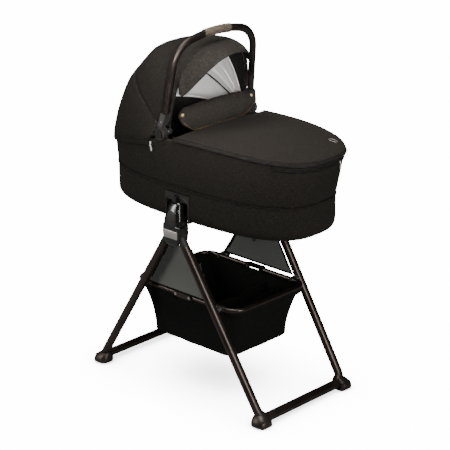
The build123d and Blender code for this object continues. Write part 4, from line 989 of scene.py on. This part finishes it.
flap_rows = [flap_section(y) for y in np.linspace(-FLAP_HALF + 2, FLAP_HALF - 2, 40)]
flap = closed_loft("wind_flap_cloth", flap_rows, COVER)
pad(flap, 4.5, 3.0, 3.0)
settle(flap, "wind_flap", "body_fabric", "wind_flap")

flap_tree = tree_of(flap)


def on_flap(y, z, lift):
    hit = flap_tree.ray_cast(Vector((200, y, z)) * MM, Vector((-1, 0, 0)))[0]
    return None if hit is None else np.array([hit.x / MM + lift, y, z])


hem = []
for a in np.linspace(0, 1, 90):
    y = (2 * a - 1) * (FLAP_HALF - 9)
    share = abs(y) / FLAP_HALF
    spot = on_flap(y, 882.0 - 3.0 * (1 - share ** 2) + 34.0 * max(0.0, share - 0.68) ** 1.25 * 4.6, 0.3)
    if spot is not None:
        hem.append(spot)
caps = []
for side in (-1, 1):
    middle = on_flap(side * 157.0, 934.0, 0.0)
    rows = [[middle + (out, r * math.cos(a), r * math.sin(a)) for a in np.linspace(0, 2 * math.pi, 20)[:-1]]
            for out, r in ((-1.0, 6.0), (0.8, 6.0), (1.7, 5.2), (2.1, 3.6), (1.9, 2.6), (2.0, 0.05))]
    caps.append(closed_loft("snap", rows, GOLD, fill=False))
settle(joined("flap_snap_caps", caps), "wind_flap", "snap_gold", "flap_snaps")
settle(repeats("flap_stitches", resample(hem, 2.0), THREAD, 5.0, 3.4, 0.9, 0.9), "wind_flap", "body_fabric")

# %% [markdown]
# ## The mattress
# The mattress is a foam pad in a jersey cover, padded in the same way.

# %% The mattress
mattress_rows = []
for z, inset in ((613.0, 52.0), (616.0, 47.0), (630.0, 45.0), (644.0, 47.0), (647.5, 52.0)):
    mattress_rows.append([(*outline(t, inset, 0), z) for t in TURNS[::4]])
mattress = closed_loft("mattress_pad", mattress_rows, LINING)
pad(mattress, 9.0, 1.5, 2.0)
settle(mattress, "cot", "liner_fabric", "mattress")

# %% [markdown]
# ## The basket
# The basket hangs from the rim in black polyester. Its walls are drawn in under the rim and then
# fall straight, the floor sags between its corners, and the wall at the head end has a window of
# mesh. Two partitions divide its foot half.

# %% The basket
def rim_outline(half, corner, count=176):
    """A rounded rectangle about the stand's middle, in equal steps."""
    path = [(STAND_X + x, y, 0.0) for x, y in corners(half[0] - corner, half[1] - corner, corner, 9)]
    even = resample(path, 1.0, closed=True)
    return even[np.linspace(0, len(even), count, endpoint=False).astype(int)]


RIM_LINE = rim_outline(RIM_HALF, RIM_CORNER)
FLOOR_LINE = rim_outline(FLOOR_HALF, RIM_CORNER)
basket_rows = []
for share in np.concatenate([[0.0, 0.02], np.linspace(0.05, 0.95, 19), [0.98, 1.0]]):
    row = []
    for i, (top, low) in enumerate(zip(RIM_LINE, FLOOR_LINE)):
        drawn = 1 - (1 - share) ** 1.7
        p = top * (1 - drawn) + low * drawn
        out = p - np.array([STAND_X, 0, 0])
        out /= np.linalg.norm(out)
        flat = 1.0 - min(1.0, abs(abs(p[0] - STAND_X) / RIM_HALF[0] - abs(p[1]) / RIM_HALF[1]))
        sag = 7.0 * math.sin(math.pi * share) * (1 - flat)
        fold = 1.8 * math.sin(math.pi * min(1, share * 1.4)) * soft_noise((i * 9.0, share * 25, 0), 26, 3.0)
        fold += 2.2 * math.sin(math.pi * share) * soft_noise((p[0], p[1], 0), 70, 6.0)
        z = RIM_Z - 6.0 - share * (RIM_Z - 6.0 - BASKET_FLOOR)
        z += share ** 3 * 2.5 * soft_noise((p[0], p[1], 0), 55, 8.0)
        q = p - out * (sag - fold)
        row.append((q[0], q[1], z))
    basket_rows.append(row)
edge = np.array(basket_rows[-1])
floor_middle = np.array([STAND_X, 0, BASKET_FLOOR])
for shrink in (0.985, 0.95, 0.7, 0.35, 0.0):
    row = []
    for p in edge:
        q = floor_middle + (p - floor_middle) * shrink
        q[2] = BASKET_FLOOR - 2.0 * (1 - shrink) * math.exp(-((q[0] - STAND_X) / 120) ** 2) + 0.4 * shrink
        row.append(q)
    basket_rows.append(row)


def window(p):
    """The mesh window in the head-end wall."""
    inside = p[0] < STAND_X - 150 and abs(p[1]) < 122 and 205 < p[2] < 303
    return 1 if inside else 0


basket_mesh = grid_mesh(basket_rows, wrap=True, paint=window)
basket = cloth_piece("basket_cloth", basket_mesh, [BASKET, WINDOW_MESH], 1.4)
settle(basket, "stand_hubs", "basket_fabric", "basket", squash=True)

parts = []
for x in (STAND_X + 48.0, STAND_X + 112.0):
    rows = []
    for share in np.linspace(0, 1, 14):
        row = []
        for s in np.linspace(-1, 1, 61):
            half = 140.0 + (153.0 - 140.0) * share
            top = 306.0 - 16.0 * (1 - s * s) + 3.0 * soft_noise((s * 90, x, 0), 30, 1.0)
            z = BASKET_FLOOR + 4 + share * (top - BASKET_FLOOR - 4)
            pleat = (5.0 * math.sin(s * 9.0) + 3.0 * soft_noise((s * 120, x, z * 0.3), 30, 2.0)) * share
            row.append((x + pleat, s * half, z))
        rows.append(row)
    parts.append(cloth_piece("divider", grid_mesh(rows), [BASKET], 2.2, offset=0.0))
dividers = joined("basket_divider_cloths", parts)
settle(dividers, "stand_hubs", "basket_fabric", "basket_dividers", squash=True)

# The top hem of the bag is a sleeve round each half of the rim tube.
for side, body in ((-1, "head_rim"), (1, "foot_rim")):
    line = [p + (0, 0, RIM_Z) for p in rim_outline(RIM_HALF, RIM_CORNER, 400)]
    line = np.array([p for p in line if side * (p[0] - STAND_X) > 44.0])
    start = np.argmax(np.linalg.norm(np.diff(np.vstack([line, line[:1]]), axis=0), axis=1)) + 1
    line = np.roll(line, -start, axis=0)
    hem_band = sweep(f"basket_hem_{body}", line - (0, 0, 9.0),
                     [(-1.5, -14), (1.5, -14), (2.2, 0), (1.6, 5), (-1.6, 5), (-2.2, 0)], [BASKET])
    settle(hem_band, "stand_hubs", "basket_fabric", squash=True)

# %% [markdown]
# ## The side panels
# A trapezoid of grey mesh fills each side between the legs, from the hub down to the rim. It has
# a black bound edge along the legs.

# %% The side panels
MESH_TOP, MESH_LOW = 512.0, 346.0


def edge_band(p):
    """The bound edge, 9 mm wide, along the legs and the foot of the panel."""
    inside = abs(abs(p[0] - STAND_X) - (CROSS_Z - p[2]) * LEG_SLOPE) > 9 and p[2] > MESH_LOW + 10
    return 0 if inside else 1


for side, label in ((-1, "near"), (1, "far")):
    rows = []
    for z in np.linspace(MESH_TOP, MESH_LOW, 25):
        half = (CROSS_Z - z) * LEG_SLOPE
        y = side * (188.5 - (568.0 - z) * 0.0229)
        dent = side * 1.5 * math.sin((MESH_TOP - z) / (MESH_TOP - MESH_LOW) * 3.1)
        rows.append([(STAND_X + s * half, y - dent * math.cos(s * 1.5), z) for s in np.linspace(-1, 1, 49)])
    panel = cloth_piece(f"side_mesh_{label}", grid_mesh(rows, paint=edge_band), [SIDE_MESH, BASKET], 0.9)
    settle(panel, "stand_hubs", "side_mesh", *(["side_mesh_panels"] if side < 0 else []), squash=True)

# %% [markdown]
# ## The hub shells and the feet
# Each hub is a tall polished shell. It swells over the leg pivot, tapers towards the cot and is
# rounded off at the bottom, where a plain nickel plate sits. Below the latch it is open at both
# sides for the legs. The legs end in rounded cast shoes.

# %% The hub shells
HUB_LINE = np.array([
    # height, half length, outer face
    (519.0, 9.0, 224.5), (521.0, 17.0, 226.5), (526.0, 25.0, 228.5), (535.0, 31.5, 230.0),
    (548.0, 35.5, 230.8), (565.0, 37.5, 231.0), (590.0, 37.0, 230.5), (610.0, 34.5, 229.0),
    (630.0, 31.0, 225.5), (645.0, 27.5, 221.5), (656.0, 24.5, 217.0), (663.0, 21.5, 212.5),
    (666.0, 17.0, 208.0)])
PLATE_FACE, PLATE_Z = 231.2, 561.5
PANEL_Z = 605.0
LIP_LEG = [(-50.0, 0, 599.0), (-50.0, 0, 655.0), (-46.0, 0, 668.0), (-37.0, 0, 676.0), (-24.0, 0, 679.0)]
LIP_LINE = LIP_LEG + [(-x, 0, z) for x, _, z in LIP_LEG[::-1]]


def waist_half(x):
    """Half the cot's width at its waist, at a distance from the stand's middle."""
    along = math.copysign((abs(x) / (FOOT if x > 0 else HEAD)) ** (FULLNESS / 2), x)
    return outline(math.acos(along), 0, 0)[1]


def hub_at(z, column):
    """The hub's half length (column 1) or its outer face (column 2) at a height."""
    return np.interp(z, HUB_LINE[:, 0], HUB_LINE[:, column])


def hub_ring(z, inner, round_by, side):
    """A level section of a hub: rounded at its outer corners, flat inside."""
    half, face = hub_at(z, 1), hub_at(z, 2)
    r = min(round_by, half * 0.7)
    ring = [(half, inner)]
    for a in np.linspace(0, 90, 8):
        a = math.radians(a)
        ring.append((half - r + r * math.cos(a), face - r + r * math.sin(a)))
    ring += [(0.0, face + 0.8)]
    ring += [(-x, y) for x, y in ring[-2::-1]]
    return [(STAND_X + x, side * y, z) for x, y in ring]


for side, label in ((-1, "near"), (1, "far")):
    upper_post = closed_loft("post", [hub_ring(z, 190.0, 12.0, side) for z in np.linspace(590, 666, 20)], GLOSS)
    cheek = closed_loft("cheek", [hub_ring(z, 221.5, 5.0, side) for z in np.linspace(519, 590.5, 20)], GLOSS)
    inner_rows = []
    for z in np.linspace(536, 590.5, 12):
        half = hub_at(z, 1) - 1.0
        inner_rows.append([(STAND_X + x, side * y, z)
                           for x, y in ((-half, 186), (half, 186), (half, 192), (-half, 192))])
    inner_cheek = closed_loft("inner", inner_rows, GLOSS)
    shell = joined(f"hub_shell_{label}", [upper_post, cheek, inner_cheek])
    settle(shell, "stand_hubs", "gloss_black", *(["hub_covers", "hub_frames"] if side < 0 else []))
    plate_rows = [[(STAND_X + x, side * (PLATE_FACE + out), PLATE_Z + z) for x, z in corners(26.5, 9.0, radius, 6)]
                  for out, radius in ((0.0, 4.0), (1.6, 4.0), (2.1, 3.2))]
    plate = closed_loft(f"hub_plate_{label}", plate_rows, BRUSHED)
    settle(plate, "stand_hubs", "badge_metal", *(["hub_badges"] if side < 0 else []))
    arch = [(20.5 * math.cos(a), 613.0 + 25.0 * math.sin(a)) for a in np.radians(np.linspace(0, 180, 15))]
    panel_line = [(20.5, 582.0)] + arch + [(-20.5, 582.0)]
    panel_rows = []
    for out, keep in ((-1.5, 1.0), (0.7, 1.0), (1.2, 0.95), (1.3, 0.4), (1.3, 0.02)):
        heights = [PANEL_Z + (z - PANEL_Z) * keep for x, z in panel_line]
        panel_rows.append([(STAND_X + x * keep, side * (hub_at(z, 2) + out), z)
                           for (x, _), z in zip(panel_line, heights)])
    settle(closed_loft(f"fold_button_panel_{label}", panel_rows, MATT, fill=False), f"fold_button_{label}",
           "moulded_black", f"fold_button_{label}")
    lip = [(STAND_X + x, side * (waist_half(x) + 1.4), z) for x, _, z in resample(LIP_LINE, 5.0)]
    settle(sweep(f"socket_lip_{label}", lip, round_section(1.6, 2.2, 8), [MATT], ups=[(0, side, 0)] * len(lip),
                 cloth=False), "cot", "tub_plastic")

# %% The feet
SHOE = (
    # height, half length, half width, how far it leans in
    (3.2, 29.0, 27.5, 0.0), (7.0, 30.0, 28.5, 0.0), (16.0, 29.5, 28.0, -0.5), (24.0, 27.0, 25.5, -2.0),
    (31.0, 23.0, 21.5, -4.0), (37.0, 18.0, 17.0, -6.0), (41.0, 12.0, 12.0, -8.0))
for end, body in ((-1, "head_legs"), (1, "foot_legs")):
    shoes = []
    for side in (-1, 1):
        rows = []
        for z, long, wide, shift in SHOE:
            ring = []
            for a in np.linspace(0, 2 * math.pi, 28, endpoint=False):
                c, n = math.cos(a), math.sin(a)
                x = math.copysign(long * abs(c) ** 0.7, c)
                y = math.copysign(wide * abs(n) ** 0.7, n)
                ring.append((STAND_X + end * (FOOT_REACH + shift * 1.2) + x, side * (FOOT_SPAN + shift) + y, z))
            rows.append(ring)
        shoes.append(closed_loft("shoe", rows, CASTING))
    settle(joined(f"foot_shoes_{body}", shoes), body, "bronze_fitting")

# %% [markdown]
# ## Camera, light and floor
# The object stands on a white floor in soft studio light. One large lamp overhead is the key, two
# tall ones draw the long highlights on the tubes, a narrow one lights the mouth of the hood, and
# the world fills the rest. The background and the floor glow for the camera alone, so they stay
# white without lighting the object. The floor glows less close to the object, as a soft shadow.

# %% Camera, light and floor
CAMERA_TURN, CAMERA_RISE = math.radians(43.35), math.radians(20.06)
AIM = Vector((-0.0049, 0.0, 0.5365))
back = Vector((math.sin(CAMERA_TURN) * math.cos(CAMERA_RISE),
               -math.cos(CAMERA_TURN) * math.cos(CAMERA_RISE), math.sin(CAMERA_RISE)))
camera = bpy.data.objects.new("camera", bpy.data.cameras.new("camera"))
camera.data.lens = 141.7
camera.data.sensor_width = 36.0
camera.location = AIM + back * 5.756
camera.rotation_euler = back.to_track_quat("Z", "Y").to_euler()
bpy.context.collection.objects.link(camera)
bpy.context.scene.camera = camera


def lamp(name, place, aim, size, power, spread=180):
    made = bpy.data.objects.new(name, bpy.data.lights.new(name, "AREA"))
    made.data.shape = "RECTANGLE"
    made.data.size, made.data.size_y = size
    made.data.energy = power
    made.data.spread = math.radians(spread)
    made.location = place
    made.rotation_euler = (Vector(place) - Vector(aim)).to_track_quat("Z", "Y").to_euler()
    bpy.context.collection.objects.link(made)


lamp("key", (0.1, -0.5, 3.6), (0, 0, 0.6), (2.6, 2.0), 130)
lamp("side", (3.2, -0.6, 1.7), (0, 0, 0.7), (0.45, 2.4), 60)
lamp("near", (-2.2, -2.8, 1.8), (0, 0, 0.5), (0.35, 2.2), 44)
lamp("mouth", (1.5, -1.3, 1.55), (-0.14, 0.05, 1.0), (0.4, 0.4), 1.6, 22)
world = bpy.data.worlds.new("studio")
world.use_nodes = True
sky = world.node_tree
fill = sky.nodes["Background"]
fill.inputs["Strength"].default_value = 0.2
bright = add_node(sky, "ShaderNodeBackground", {"Strength": 15.0})
seen = add_node(sky, "ShaderNodeLightPath")
both = add_node(sky, "ShaderNodeMixShader", Fac=seen.outputs["Is Camera Ray"], _1=fill.outputs[0],
                _2=bright.outputs[0])
sky.links.new(both.outputs[0], sky.nodes["World Output"].inputs["Surface"])
bpy.context.scene.world = world

floor_mesh = bmesh.new()
bmesh.ops.create_circle(floor_mesh, cap_ends=True, radius=12000, segments=64)
paper, _tree, _shader = start_material("white studio paper", "8a8a8a", 0.9)
_shader.inputs["Emission Color"].default_value = (1, 1, 1, 1)
_looked = add_node(_tree, "ShaderNodeLightPath")
_near = add_node(_tree, "ShaderNodeAmbientOcclusion", {"Distance": 0.28, "samples": 8})
_soft = add_node(_tree, "ShaderNodeMapRange", {"From Min": 0.45, "To Min": 2.4, "To Max": 15.0},
                 Value=_near.outputs["AO"])
_glow = add_node(_tree, "ShaderNodeMath", {"operation": "MULTIPLY"}, _0=_looked.outputs["Is Camera Ray"],
                 _1=_soft.outputs["Result"])
_tree.links.new(_glow.outputs[0], _shader.inputs["Emission Strength"])
floor = finish_mesh(floor_mesh, "floor", [paper], smooth=False)
